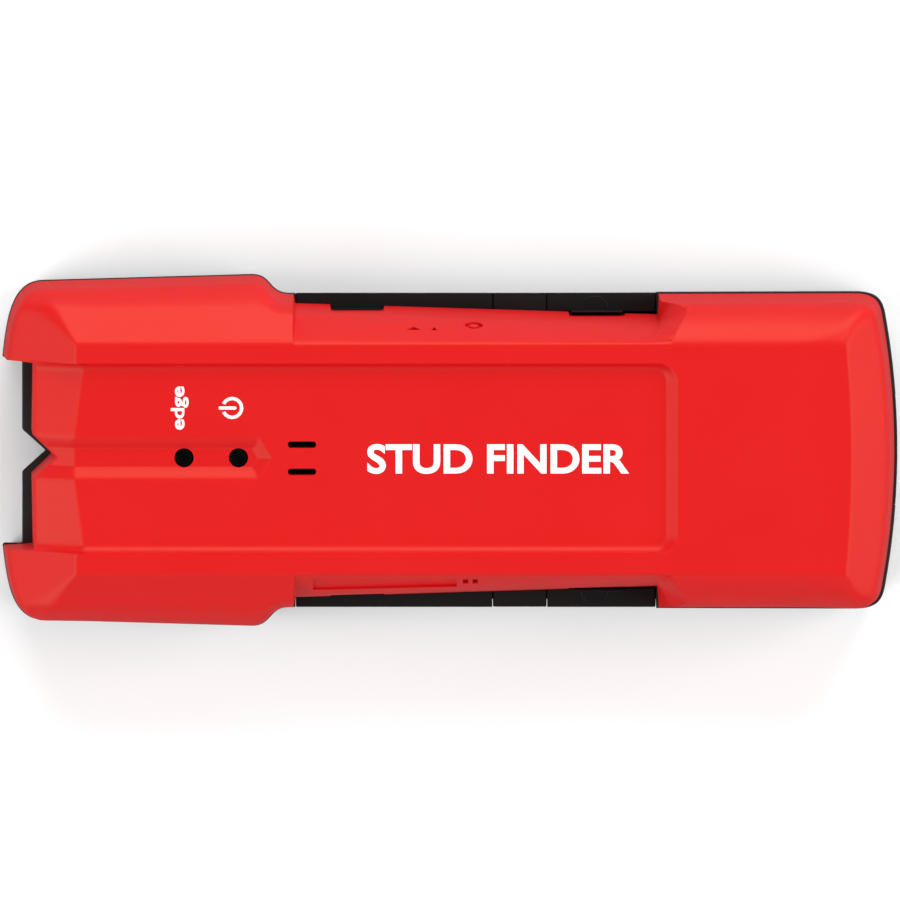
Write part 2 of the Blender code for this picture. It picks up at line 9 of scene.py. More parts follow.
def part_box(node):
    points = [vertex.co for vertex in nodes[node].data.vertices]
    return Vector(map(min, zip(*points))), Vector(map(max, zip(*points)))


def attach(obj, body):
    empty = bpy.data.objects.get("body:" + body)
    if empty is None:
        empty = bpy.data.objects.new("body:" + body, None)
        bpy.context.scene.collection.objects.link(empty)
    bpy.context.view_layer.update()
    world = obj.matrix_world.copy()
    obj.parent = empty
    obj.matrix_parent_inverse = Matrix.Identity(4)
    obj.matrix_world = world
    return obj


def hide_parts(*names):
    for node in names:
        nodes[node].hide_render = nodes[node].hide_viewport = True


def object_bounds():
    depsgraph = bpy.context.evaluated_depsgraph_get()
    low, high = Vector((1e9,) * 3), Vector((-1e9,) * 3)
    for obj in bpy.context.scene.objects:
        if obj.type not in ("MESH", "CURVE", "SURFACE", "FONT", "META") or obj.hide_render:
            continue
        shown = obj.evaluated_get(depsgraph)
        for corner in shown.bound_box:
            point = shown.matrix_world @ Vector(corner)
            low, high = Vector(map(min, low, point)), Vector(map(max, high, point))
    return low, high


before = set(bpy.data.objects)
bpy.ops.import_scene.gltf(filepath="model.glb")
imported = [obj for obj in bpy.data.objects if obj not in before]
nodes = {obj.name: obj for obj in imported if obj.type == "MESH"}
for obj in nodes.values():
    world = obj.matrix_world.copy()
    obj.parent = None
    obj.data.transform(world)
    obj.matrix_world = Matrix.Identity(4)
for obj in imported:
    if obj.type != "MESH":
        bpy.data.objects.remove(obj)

cadLow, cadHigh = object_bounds()
mm = 0.001


def boxMm(node):
    # a CAD node's box, in millimetres
    low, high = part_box(node)
    return np.array(low) / mm, np.array(high) / mm


def middleMm(node):
    low, high = boxMm(node)
    return (low + high) / 2


def axisOf(node):
    # foot of the upright axis through a node's middle
    return (*middleMm(node)[:2], 0)


# ---- shader nodes written as expressions


class Sock:
    def __init__(self, tree, socket):
        self.tree, self.socket = tree, socket

    def math(self, operation, *others):
        return self.tree.node("ShaderNodeMath", {"operation": operation}, [self, *others])

    def __add__(self, other): return self.math("ADD", other)
    def __sub__(self, other): return self.math("SUBTRACT", other)
    def __mul__(self, other): return self.math("MULTIPLY", other)
    def less(self, other): return self.math("LESS_THAN", other)
    def more(self, other): return self.math("GREATER_THAN", other)
    def clamp(self): return self.tree.node("ShaderNodeClamp", {}, [self])


class Finish:
    # one material: its tree, and calls that add nodes to it
    def __init__(self, name, colour, roughness, metallic=0.0, **fixed):
        self.material = bpy.data.materials.new(name)
        self.material.use_nodes = True
        self.nodes = self.material.node_tree.nodes
        self.links = self.material.node_tree.links
        self.shader = self.nodes["Principled BSDF"]
        self.put("Base Color", (*colour, 1.0))
        self.put("Roughness", roughness)
        self.put("Metallic", metallic)
        for socket, value in fixed.items():
            self.put(socket.replace("_", " "), value)

    def node(self, kind, settings, values, out=0):
        made = self.nodes.new(kind)
        for key, value in settings.items():
            setattr(made, key, value)
        pairs = values.items() if isinstance(values, dict) else enumerate(values)
        for key, value in pairs:
            self.feed(made.inputs[key], value)
        return Sock(self, made.outputs[out])

    def feed(self, socket, value):
        if isinstance(value, Sock):
            self.links.new(value.socket, socket)
        else:
            socket.default_value = value

    def put(self, socket, value):
        self.feed(self.shader.inputs[socket], value)

    def place(self):
        return self.node("ShaderNodeTexCoord", {}, [], "Object")

    def noise(self, scale, detail=3.0, roughness=0.5, stretch=None):
        where = self.place()
        if stretch:
            where = self.node("ShaderNodeMapping", {}, {"Vector": where, "Scale": stretch})
        inputs = {"Vector": where, "Scale": scale, "Detail": detail, "Roughness": roughness}
        return self.node("ShaderNodeTexNoise", {}, inputs, "Fac")

    def mix(self, factor, first, second):
        made = self.nodes.new("ShaderNodeMix")
        made.data_type = "RGBA"
        self.feed(made.inputs[0], factor)
        for socket, colour in ((made.inputs[6], first), (made.inputs[7], second)):
            self.feed(socket, (*colour, 1.0) if isinstance(colour, tuple) else colour)
        return Sock(self, made.outputs[2])

    def bump(self, height, strength, distance):
        values = {"Height": height, "Strength": strength, "Distance": distance}
        self.put("Normal", self.node("ShaderNodeBump", {}, values))


def mouldedPlastic(name, colour, roughness, grain, shade=0.08, **fixed):
    # fine spark-eroded grain, with slow drift in shade and gloss
    made = Finish(name, colour, roughness, **fixed)
    slow = made.noise(55.0, 2.0)
    fine = made.noise(grain["scale"], 3.0, 0.6)
    dark = tuple(c * (1 - shade) for c in colour)
    light = tuple(min(1.0, c * (1 + shade)) for c in colour)
    made.put("Base Color", made.mix(slow, dark, light))
    made.put("Roughness", (slow - 0.5) * 0.1 + (fine - 0.5) * 0.12 + roughness)
    made.bump(fine, grain["strength"], grain["depth"])
    return made.material


redGrain = {"scale": 5200.0, "strength": 0.35, "depth": 0.00003}
blackGrain = {"scale": 4200.0, "strength": 0.45, "depth": 0.00004}
rubberGrain = {"scale": 7000.0, "strength": 0.5, "depth": 0.00005}


def metal(name, colour, roughness):
    # drawn or plated metal, with fine streaks and duller patches
    made = Finish(name, colour, roughness, 1.0)
    streak = made.noise(900.0, 4.0, 0.6, (1.0, 0.12, 1.0))
    patch = made.noise(140.0, 3.0)
    dark = tuple(c * 0.82 for c in colour)
    made.put("Base Color", made.mix(patch, dark, colour))
    made.put("Roughness", (streak - 0.5) * 0.2 + (patch - 0.5) * 0.14 + roughness)
    made.bump(streak, 0.15, 0.00001)
    return made.material


def clearPart(name, colour, roughness, **fixed):
    made = Finish(name, colour, roughness, IOR=1.49, **fixed)
    drift = made.noise(320.0, 2.0)
    made.put("Roughness", drift * 0.08 + roughness)
    made.put("Base Color", made.mix(drift, tuple(c * 0.85 for c in colour), colour))
    return made.material


def boardMask():
    # green lacquer with the tracks showing through as a lighter green
    colour = {"lacquer": (0.008, 0.085, 0.03), "track": (0.02, 0.17, 0.06)}
    made = Finish("boardLacquer", colour["lacquer"], 0.32)
    where = made.place()

    def cells(kind, scale):
        values = {"Vector": where, "Scale": scale}
        return made.node("ShaderNodeTexVoronoi", {"distance": kind}, values, "Distance")

    fine, wide = cells("MANHATTAN", 330.0), cells("CHEBYCHEV", 120.0)
    lines = (fine * 9.0).math("FRACT").more(0.72) + (wide * 5.0).math("FRACT").more(0.8)
    track = lines.clamp()
    made.put("Base Color", made.mix(track, colour["lacquer"], colour["track"]))
    made.put("Roughness", track * 0.06 + made.noise(260.0) * 0.1 + 0.27)
    made.bump(track, 0.25, 0.00003)
    return made.material


def foamFinish():
    # open-cell foam: small dark pores in a soft grey
    colour = {"skin": (0.13, 0.13, 0.135), "pore": (0.03, 0.03, 0.032)}
    made = Finish("greyFoam", colour["skin"], 0.95)
    where = {"Vector": made.place(), "Scale": 1500.0}
    pore = made.node("ShaderNodeTexVoronoi", {"feature": "F1"}, where, "Distance")
    soft = (pore * 1.7).clamp()
    made.put("Base Color", made.mix(soft, colour["pore"], colour["skin"]))
    made.put("Roughness", soft * 0.05 + 0.9)
    made.bump(soft, 0.8, 0.0003)
    return made.material


def wrapFinish():
    # printed metal jacket of the battery: black with a copper band at the terminal end
    colour = {"dark": (0.012, 0.012, 0.014), "band": (0.5, 0.2, 0.06)}
    made = Finish("batteryWrap", colour["dark"], 0.3)
    split = made.node("ShaderNodeSeparateXYZ", {}, [made.place()], "X")
    bandEnd = (boxMm("battery_case")[0][0] + 13.0) * mm
    band = split.less(bandEnd)
    drift = made.noise(200.0, 3.0)
    made.put("Base Color", made.mix(band, colour["dark"], colour["band"]))
    made.put("Metallic", band * 0.8 + 0.1)
    made.put("Roughness", drift * 0.14 + 0.24)
    made.bump(drift, 0.1, 0.00005)
    return made.material


def printInk():
    made = Finish("whiteInk", (0.9, 0.9, 0.9), 0.5)
    speck = made.noise(2600.0, 2.0)
    made.put("Base Color", made.mix(speck, (0.88, 0.875, 0.87), (0.93, 0.93, 0.93)))
    made.bump(speck, 0.15, 0.00001)
    return made.material


def makeFinishes():
    red = (0.615, 0.0035, 0.0068)
    black = (0.006, 0.0056, 0.0058)
    rubber = (0.005, 0.004, 0.004)
    warmShine = {"Specular_IOR_Level": 0.32, "Specular_Tint": (1, 0.85, 0.6, 1)}
    plain = {"scale": 3200.0, "strength": 0.2, "depth": 0.00002}
    return {
        "red_plastic": mouldedPlastic("redPlastic", red, 0.46, redGrain, 0.02, **warmShine),
        "black_plastic": mouldedPlastic("blackPlastic", black, 0.5, blackGrain, Specular_IOR_Level=0.3),
        "soft_black": mouldedPlastic("softBlack", rubber, 0.62, rubberGrain, Specular_IOR_Level=0.16),
        "green_board": boardMask(),
        "copper": metal("copper", (0.85, 0.42, 0.24), 0.3),
        "white_nylon": mouldedPlastic("whiteNylon", (0.72, 0.71, 0.67), 0.45, plain),
        "edge_diode": clearPart("edgeDiode", (0.62, 0.03, 0.02), 0.12, Coat_Weight=0.4),
        "power_diode": clearPart("powerDiode", (0.05, 0.5, 0.07), 0.12, Coat_Weight=0.4),
        # the near-black smoked lens is painted shade: it stands in for the dark inside of the light holes
        "smoked_lens": clearPart("smokedLensPaintedShade", (0.0006, 0.0006, 0.0006), 0.4, Specular_IOR_Level=0.04),
        "brass": metal("brass", (0.3, 0.21, 0.09), 0.45),
        "chip_epoxy": mouldedPlastic("chipEpoxy", (0.02, 0.02, 0.021), 0.55, plain),
        "steel": metal("steel", (0.6, 0.6, 0.61), 0.3),
        "blue_sleeve": mouldedPlastic("blueSleeve", (0.03, 0.07, 0.3), 0.35, plain),
        "resistor_body": mouldedPlastic("resistorBody", (0.6, 0.43, 0.25), 0.42, plain),
        "red_lead": mouldedPlastic("redLead", (0.62, 0.015, 0.015), 0.4, plain),
        "black_lead": mouldedPlastic("blackLead", (0.014, 0.014, 0.014), 0.4, plain),
        "battery_wrap": wrapFinish(),
        "grey_foam": foamFinish(),
        "ink": printInk(),
    }


finishes = makeFinishes()


def dressNodes():
    # the CAD's own slots take these finishes wherever a node still shows
    for node in nodes.values():
        for place in node.material_slots:
            name = place.material.name.split(".")[0] if place.material else ""
            if name in finishes:
                place.material = finishes[name]


dressNodes()
print("finishes made")


# ---- mesh helpers


def linked(name, data):
    obj = bpy.data.objects.new(name, data)
    bpy.context.scene.collection.objects.link(obj)
    return obj


def newPiece(name, points, faces, finish, smoothAngle=35):
    # points in millimetres; the mesh keeps its place, so the object stays at the origin
    mesh = bpy.data.meshes.new(name)
    mesh.from_pydata((np.asarray(points, float) * mm).tolist(), [], faces)
    work = bmesh.new()
    work.from_mesh(mesh)
    bmesh.ops.remove_doubles(work, verts=work.verts, dist=2e-6)
    bmesh.ops.recalc_face_normals(work, faces=work.faces)
    work.to_mesh(mesh)
    work.free()
    mesh.materials.append(finish)
    mesh.shade_smooth()
    if smoothAngle:
        mesh.set_sharp_from_angle(angle=math.radians(smoothAngle))
    return linked(name, mesh)


def sideSpan(side, near, far):
    # a span of y on one side, from its distances to the middle
    return sorted((side * near, side * far))


def ringFaces(count, levels):
    # side faces between stacked rings, and the two ends
    faces = []
    for level in range(levels - 1):
        low, high = level * count, (level + 1) * count
        faces += [(low + k, low + (k + 1) % count, high + (k + 1) % count, high + k) for k in range(count)]
    return faces + [tuple(range(count)), tuple(range((levels - 1) * count, levels * count))]


def ringSolid(name, rings, finish, smoothAngle=35):
    points = [p for ring in rings for p in ring]
    return newPiece(name, points, ringFaces(len(rings[0]), len(rings)), finish, smoothAngle)


def carve(target, tool, operation="DIFFERENCE"):
    change = target.modifiers.new("carve", "BOOLEAN")
    change.operation = operation
    change.solver = "EXACT"
    change.object = tool
    settle(target)
    bpy.data.objects.remove(tool, do_unlink=True)


def settle(obj):
    # turns the evaluated object into a plain mesh
    graph = bpy.context.evaluated_depsgraph_get()
    mesh = bpy.data.meshes.new_from_object(obj.evaluated_get(graph))
    obj.modifiers.clear()
    obj.data = mesh
    mesh.shade_smooth()
    mesh.set_sharp_from_angle(angle=math.radians(35))


def prismPiece(name, loop, z, finish):
    # a plan loop drawn up between two heights
    return ringSolid(name, [[(x, y, h) for x, y in loop] for h in z], finish)


def block(name, x, y, z, finish=None, bevel=0.0):
    corners = [(x[0], y[0]), (x[1], y[0]), (x[1], y[1]), (x[0], y[1])]
    made = prismPiece(name, corners, z, finish or finishes["black_plastic"])
    if bevel:
        addBevel(made, bevel)
    return made


def addBevel(obj, width, segments=3):
    change = obj.modifiers.new("edges", "BEVEL")
    change.width = width * mm
    change.segments = segments
    change.limit_method = "ANGLE"
    change.angle_limit = math.radians(40)
    change.use_clamp_overlap = True
    settle(obj)


def turnedPiece(name, profile, centre, finish, sides, turn=None):
    # (radius, height) pairs about a vertical axis, then turned about centre
    angles = np.linspace(0, 2 * math.pi, sides, endpoint=False)
    rings = []
    for radius, height in profile:
        ring = [Vector((radius * math.cos(a), radius * math.sin(a), height)) for a in angles]
        if turn:
            ring = [turn @ p for p in ring]
        rings.append([tuple(p + Vector(centre)) for p in ring])
    return ringSolid(name, rings, finish)


def arcBand(name, radius, wide, start, end, centre, z, steps=40):
    # a flat curved stroke
    points, faces = [], []
    angles = np.linspace(start, end, steps)
    for height in z:
        for r in (radius - wide / 2, radius + wide / 2):
            points += [(centre[0] + r * math.cos(a), centre[1] + r * math.sin(a), height) for a in angles]
    n = steps
    for k in range(n - 1):
        faces += [(k, k + 1, n + k + 1, n + k), (2 * n + k, 3 * n + k, 3 * n + k + 1, 2 * n + k + 1)]
        faces += [(k, 2 * n + k, 2 * n + k + 1, k + 1), (n + k, n + k + 1, 3 * n + k + 1, 3 * n + k)]
    faces += [(0, n, 3 * n, 2 * n), (n - 1, 3 * n - 1, 4 * n - 1, 2 * n - 1)]
    return newPiece(name, points, faces, finishes["ink"], 0)


def show(obj, body, slot=None, *stands):
    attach(obj, body)
    if stands:
        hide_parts(*stands)


def smooth(t):
    t = np.clip(t, 0.0, 1.0)
    return t * t * (3 - 2 * t)


def bezier(p0, p1, p2, p3, count):
    t = np.linspace(0, 1, count + 1)[:, None]
    p0, p1, p2, p3 = (np.array(p, float) for p in (p0, p1, p2, p3))
    return (1 - t) ** 3 * p0 + 3 * t * (1 - t) ** 2 * p1 + 3 * t * t * (1 - t) * p2 + t**3 * p3


def eased(corner, before, after, r):
    # a small round in place of one corner
    corner, before, after = (np.array(p, float) for p in (corner, before, after))
    a = corner + (before - corner) / np.linalg.norm(before - corner) * r
    b = corner + (after - corner) / np.linalg.norm(after - corner) * r
    return [(1 - t) ** 2 * a + 2 * t * (1 - t) * corner + t * t * b for t in np.linspace(0, 1, 4)]


# ---- outline shared by the cover and the tray

coverLow, coverHigh = boxMm("top_housing")
trayLow, trayHigh = boxMm("base_housing")
rearX = cadHigh.x / mm
tipX = trayLow[0]
outline = {
    "frontX": tipX + 3.5,
    "notchHalf": 3.7,
    "notchApex": tipX + 7.6,
    "hornIn": 16.4,
    "wingHalf": trayHigh[1],
    "waistHalf": 27.9,
    "rearHalf": 28.2,
    "bow": 266.0,
}


def rearBow(y):
    return rearX - y * y / outline["bow"]


def outerEdge():
    # the +Y outline from the tip's inner corner to the middle of the rear, as a dense line
    o = outline
    start = (tipX, o["hornIn"] + 0.5)
    tip = bezier((tipX + 0.5, o["hornIn"]), (tipX + 0.2, o["hornIn"]), (tipX, o["hornIn"] + 0.2), start, 5)
    front = bezier(start, (tipX + 0.75, 24.8), (tipX + 2.2, 30.1), (-72.0, 30.2), 44)
    side = np.linspace((-72.0, 30.2), (-35.0, o["wingHalf"]), 30)
    neck = bezier((-35.0, o["wingHalf"]), (-31.4, 31.2), (-32.2, 28.0), (-28.4, o["waistHalf"]), 34)
    waist = np.linspace((-28.4, o["waistHalf"]), (71.5, o["rearHalf"]), 90)
    corner = bezier((71.5, o["rearHalf"]), (75.4, 28.2), (76.6, 27.0), (77.1, 23.9), 26)
    rear = [(rearBow(y), y) for y in np.linspace(23.9, 0.0, 40)]
    return np.vstack([tip, front[1:], side[1:], neck[1:], waist[1:], corner[1:], rear[1:]])


def insetLine(line, amount):
    # an open line moved to its right-hand side, which is inwards for outerEdge
    step = np.gradient(line, axis=0)
    step /= np.linalg.norm(step, axis=1)[:, None]
    return line + np.stack([step[:, 1], -step[:, 0]], 1) * np.reshape(amount, (-1, 1))


def lengths(line):
    # how far along a line each of its points lies
    return np.concatenate([[0], np.cumsum(np.linalg.norm(np.diff(line, axis=0), axis=1))])


# ---- red cover

cover = {
    "topZ": coverHigh[2],
    "rimZ": coverLow[2],
    "railOut": 20.5,
    "railIn": 16.85,
    "panelHalf": 14.85,
    "sideRamp": 2.0,
    "noseWall": 0.35,
    "panelDrop": 1.4,
    "panelRear": 38.2,
    "panelRamp": 1.9,
    "panelCorner": 1.6,
    "lean": 0.075,
    "noseLean": 0.03,
    "frontFall": 0.8,
    "grooveDrop": 1.3,
    "grooveFloor": 1.65,
    "grooveHalf": 3.85,
    "grooveEnd": -33.9,
    "groovePoint": 2.4,
    "deckFront": -66.0,
    "creaseX": -64.6,
    "creaseSlant": 1.7,
    "noseApex": -70.1,
    "noseFront": -74.1,
    "deckRear": 70.9,
    "deckBow": 420.0,
    "edge": 0.7,
    "frontCorner": 1.2,
    "rearCorner": 2.3,
    "waistFrom": -27.75,
    "waistTo": 36.7,
    "waistHalf": 26.1,
    "waistNarrows": 2.0,
    "shoulderIn": 1.4,
    "shoulderDrop": 6.5,
    "wingSlope": 0.67,
    "rearSlope": 0.62,
    "rearFall": 0.8,
    "footStep": 0.25,
    "facetDepth": (0.0, 0.6, 3.0, 5.5, 7.5, 11.0, 13.0, 21.0),
    "facetX": (38.9, 39.6, 41.2, 42.0, 40.2, 37.5, 37.1, 36.9),
    "waistStep": 0.45,
    "facetFade": 10.0,
}


def softRamp(g, r):
    # 0 below -r, g above r, a parabola between
    return np.where(g < -r, 0.0, np.where(g > r, g, (g + r) ** 2 / (4 * r)))


def softMax(a, b, r):
    return b + softRamp(a - b, r)


def softMin(a, b, r):
    return -softMax(-a, -b, r)


def deckHeight(x, y):
    c = cover
    a = np.abs(y)
    qx = np.maximum(x - (c["panelRear"] - c["panelCorner"]), 0)
    qy = np.maximum(a - (c["panelHalf"] - c["panelCorner"]), 0)
    away = np.hypot(qx, qy) - c["panelCorner"]
    turn = qx / np.maximum(np.hypot(qx, qy), 1e-6)
    t = np.clip(away / (c["sideRamp"] + (c["panelRamp"] - c["sideRamp"]) * turn), 0, 1)
    mask = 1 - t ** (3.0 - 2.0 * turn)
    slope = np.clip((c["grooveHalf"] - a) / (c["grooveHalf"] - c["grooveFloor"]), -1, 2)
    slope = np.sign(slope) * np.abs(slope) ** 1.4
    # the groove ends in a low arrow point
    tip = c["grooveEnd"] + c["groovePoint"] * (1 - a / c["grooveHalf"])
    point = (tip - x) / c["groovePoint"]
    depth = softMin(softMin(slope, point, 0.15), 1.0 + 0 * slope, 0.15)
    depth = np.clip(softRamp(depth, 0.12), 0, 1)
    return c["topZ"] - mask * (c["panelDrop"] + c["grooveDrop"] * depth)


def spaced(*spans):
    # a line of values through spans of (end, step), from the first value
    values = [spans[0]]
    for end, step in spans[1:]:
        count = max(1, round((end - values[-1]) / step))
        values += list(np.linspace(values[-1], end, count + 1)[1:])
    return np.array(values)


def coverLines():
    # the top's grid lines, close together where the surface bends
    c = cover
    inner = c["railOut"] - c["edge"]
    half = spaced(0.0, (1.3, 0.26), (2.0, 0.12), (3.5, 0.25), (4.4, 0.12), (13.6, 0.9), (16.1, 0.25))
    wall = spaced(16.1, (16.5, 0.1), (c["railIn"], 0.07), (17.05, 0.1), (18.2, 0.3), (inner, 0.16))
    half = np.concatenate([half, wall[1:]])
    ys = np.concatenate([-half[::-1], half[1:]])
    front = c["deckFront"] + c["edge"]
    rear = c["deckRear"] - c["edge"]
    xs = spaced(front, (front + 0.8, 0.1), (-62.0, 0.3), (-37.2, 1.1), (-31.0, 0.15), (-28.3, 0.4))
    more = spaced(-28.3, (-27.2, 0.07), (34.9, 1.05), (c["waistTo"], 0.3), (36.85, 0.15), (46.0, 0.16))
    more = np.concatenate([more, spaced(46.0, (67.0, 1.0), (rear - 1.7, 0.3), (rear, 0.13))[1:]])
    return np.concatenate([xs, more[1:]]), ys


def frontEdge(a):
    # where the flat top starts: the nose's crease slants, the rails start square
    c = cover
    nose = c["creaseX"] - c["creaseSlant"] * (1 - np.clip((a - c["grooveHalf"]) / 12.5, 0, 1))
    return nose + (c["deckFront"] - nose) * smooth((a - c["railIn"]) / c["noseWall"] + 1)


def roundCorner(x, y, cx, cy, r, sx):
    # squares off to disc inside one corner cell
    u, v = (x - cx) * sx / r, (np.abs(y) - cy) / r
    inside = (u > 0) & (v > 0)
    u, v = np.clip(u, 0, 1), np.clip(v, 0, 1)
    nu, nv = u * np.sqrt(1 - v * v / 2), v * np.sqrt(1 - u * u / 2)
    return np.where(inside, cx + sx * nu * r, x), np.where(inside, np.sign(y) * (cy + nv * r), y)


def deckGrid(xs, ys):
    c = cover
    x, y = np.meshgrid(xs, ys, indexing="ij")
    inner = c["railOut"] - c["edge"]
    front, rear = xs[0], xs[-1]
    rf, rr = c["frontCorner"] - c["edge"], c["rearCorner"] - c["edge"]
    x, y = roundCorner(x, y, front + rf, inner - rf, rf, -1)
    x, y = roundCorner(x, y, rear - rr, inner - rr, rr, 1)
    x = x + (frontEdge(np.abs(y)) - c["deckFront"]) * (1 - smooth((x - front) / 7.0))
    x = x - y * y / c["deckBow"] * smooth((x - 58.0) / (rear - 58.0))
    return x, y, deckHeight(x, y)


def coverRim():
    # the red edge: just inside the tray's outline, a little further in at the rear
    line = outerEdge()
    amount = 0.2 + 0.15 * smooth((line[:, 0] - 30) / 8) + 0.25 * smooth((line[:, 0] - 72) / 5)
    return insetLine(line, amount)


def noseRim(a):
    # along the notch's flank, then nearly straight to the wing
    apex, front = cover["noseApex"], cover["noseFront"]
    notch = outline["notchHalf"] + 0.2
    x = np.where(a < notch, apex + (front - apex) * a / notch, front + 0.2 * (a - notch) / 12.3)
    return np.stack([x, a * 0.993], 1)


def waistRim(x):
    c = cover
    return c["waistHalf"] - c["waistNarrows"] * (x - c["waistFrom"]) / (c["waistTo"] - c["waistFrom"])


def drops(count):
    # how a column steps outwards: rows over the rounded edge, then shares of what is left
    near = np.linspace(-1, 1, 9)
    rest = np.sin(np.linspace(0, math.pi / 2, count + 1)[1:])
    return near, rest


def columnPlan(top, rim, near, rest):
    # plan points of every column from just inside the deck's edge to the rim
    e = cover["edge"]
    away = rim - top
    length = np.linalg.norm(away, axis=1)[:, None]
    unit = away / length
    first = top[:, None] + unit[:, None] * (near * e)[None, :, None]
    after = e + (length - e) * rest[None, :]
    second = top[:, None] + unit[:, None] * after[:, :, None]
    return np.concatenate([first, second], 1)


def shellHeight(points, left, kind):
    # height over the sloping sides, from the plan place and the distance left to the rim
    c = cover
    x, a = points[..., 0], np.abs(points[..., 1])
    out = a - c["railOut"]
    front = c["frontFall"] * (c["deckFront"] - x)
    if kind == "nose":
        drop = softRamp(0.6 * (frontEdge(a) - x), 0.25)
        z = deckHeight(np.full_like(x, c["deckFront"]), a) - drop
        width, fall = 0.6 + 0 * x, 0.9
    elif kind == "wing":
        side = c["wingSlope"] * out
        soft = 0.3 * (np.maximum(front, 0) + np.maximum(side, 0)) + 0.05
        drop = softRamp(softMax(front, side, soft), 0.35)
        z = c["topZ"] - drop
        width = 0.7 + 4.0 * smooth((x + 76.5) / 4.0) * smooth((a - 24) / 4)
        fall = 0.8 + 4.2 * (width - 0.7) / 4.0
    else:
        back = c["rearFall"] * (x - c["deckRear"] + a * a / c["deckBow"])
        roundness = smooth((76.0 - x) / 9.0)
        side = out * (c["rearSlope"] - 0.27 * roundness)
        soft = 0.3 * (np.maximum(back, 0) + np.maximum(side, 0)) + 0.05
        drop = softRamp(softMax(back, side, soft), 0.3)
        z = c["topZ"] - drop
        width = 0.9 + 6.2 * roundness
        fall = 1.3 + 5.6 * roundness
    u = np.clip(1 - left / width, 0, 1)
    return z - fall * (1 - np.sqrt(1 - u * u))


def wallDown(plan, z, rim, steps):
    # adds the slightly leaning wall from the slope's end to the rim
    last = plan[:, -1:]
    down = np.linspace(0, 1, steps + 1)[1:]
    zs = z[:, -1:] + (cover["rimZ"] + cover["footStep"] - z[:, -1:]) * down[None]
    wall = last + (rim[:, None] - last) * down[None, :, None]
    return np.concatenate([plan, wall], 1), np.concatenate([z, zs], 1)


def waistColumns(top, rim, near, rest, steps):
    # a shoulder that leans out, then a steep scooped wall down to the rim
    c = cover
    e = c["edge"]
    side = np.sign(rim[:, 1:2])
    reach = np.abs(rim[:, 1]) - c["railOut"]
    none = np.zeros_like(reach)
    footDrop = c["topZ"] - c["rimZ"] - c["footStep"]
    bend = np.stack([none, reach - c["shoulderIn"], none - c["shoulderDrop"]], 1)
    foot = np.stack([none, reach, none - footDrop], 1)
    slope = c["shoulderDrop"] / (reach - c["shoulderIn"])
    rows = []
    for t in near:
        lift = -softRamp(slope * t * e, 0.9)
        rows.append(np.stack([none, none + t * e, lift], 1))
    total = len(rest) + steps
    start = rows[-1]
    low = bend + (foot - bend) * 0.34
    curved = 0.62
    for k in range(1, total + 1):
        t = k / total
        # a soft bend: quadratic through the shoulder point, then straight
        if t < curved:
            s = t / curved
            rows.append((1 - s) ** 2 * start + 2 * s * (1 - s) * bend + s * s * low)
        else:
            s = (t - curved) / (1 - curved)
            rows.append(low + (foot - low) * s)
    made = np.stack(rows, 1)
    made[..., 0] += top[:, None, 0]
    made[..., 1] = side * (c["railOut"] + made[..., 1])
    made[..., 2] += c["topZ"]
    return made


def skirtColumns(loop, sides):
    # where each column of the skirt meets the rim, from the deck's border points on the +Y side
    c = cover
    x, y = loop[:, 0], loop[:, 1]
    steps = 6
    near, rest = drops(15)
    rim = coverRim()
    length = lengths(rim)

    def lengthAtX(value, low, high):
        pick = (length >= low) & (length <= high)
        return np.interp(value, rim[pick, 0], length[pick])

    run = lengths(loop[:, :2])
    onFront, onRear, onSide = sides
    # deck border to rim, matched by length at these corners
    places = []
    targets = []

    def tie(where, target):
        places.append(run[where])
        targets.append(target)

    hornStart = int(np.argmin(np.abs(np.where(onFront, y, 99) - (c["railIn"] + 0.02))))
    hornEnd = int(np.argmin(np.abs(np.where(onFront, y, 99) - 19.1)))
    cornerEnd = int(np.argmax(onSide))
    tie(hornStart, 0.35)
    tie(hornEnd, lengthAtX(-77.0, 2, 20))
    tie(cornerEnd, lengthAtX(-73.2, 2, 30))
    for place in np.where(onSide & (x > -58.0) & (x < 62.0))[0]:
        tie(int(place), lengthAtX(x[place], 10, 180))
    rearTurn = int(np.argmax(onRear))
    end = length[-1]
    tie(rearTurn, float(np.interp(-21.0, -rim[-60:, 1], length[-60:])))
    for place in np.where(onRear & (y < 17.0))[0]:
        value = y[place] * 18.0 / 14.0 if y[place] < 14 else 18.0 + (y[place] - 14.0)
        tie(int(place), float(np.interp(-value, -rim[-60:, 1], length[-60:])))
    order = np.argsort(places, kind="stable")
    rimAt = np.interp(run, np.array(places)[order], np.array(targets)[order])
    rimAt = np.minimum(rimAt, end)
    rimPoints = np.stack([np.interp(rimAt, length, rim[:, k]) for k in (0, 1)], 1)
    return rimPoints, near, rest, steps


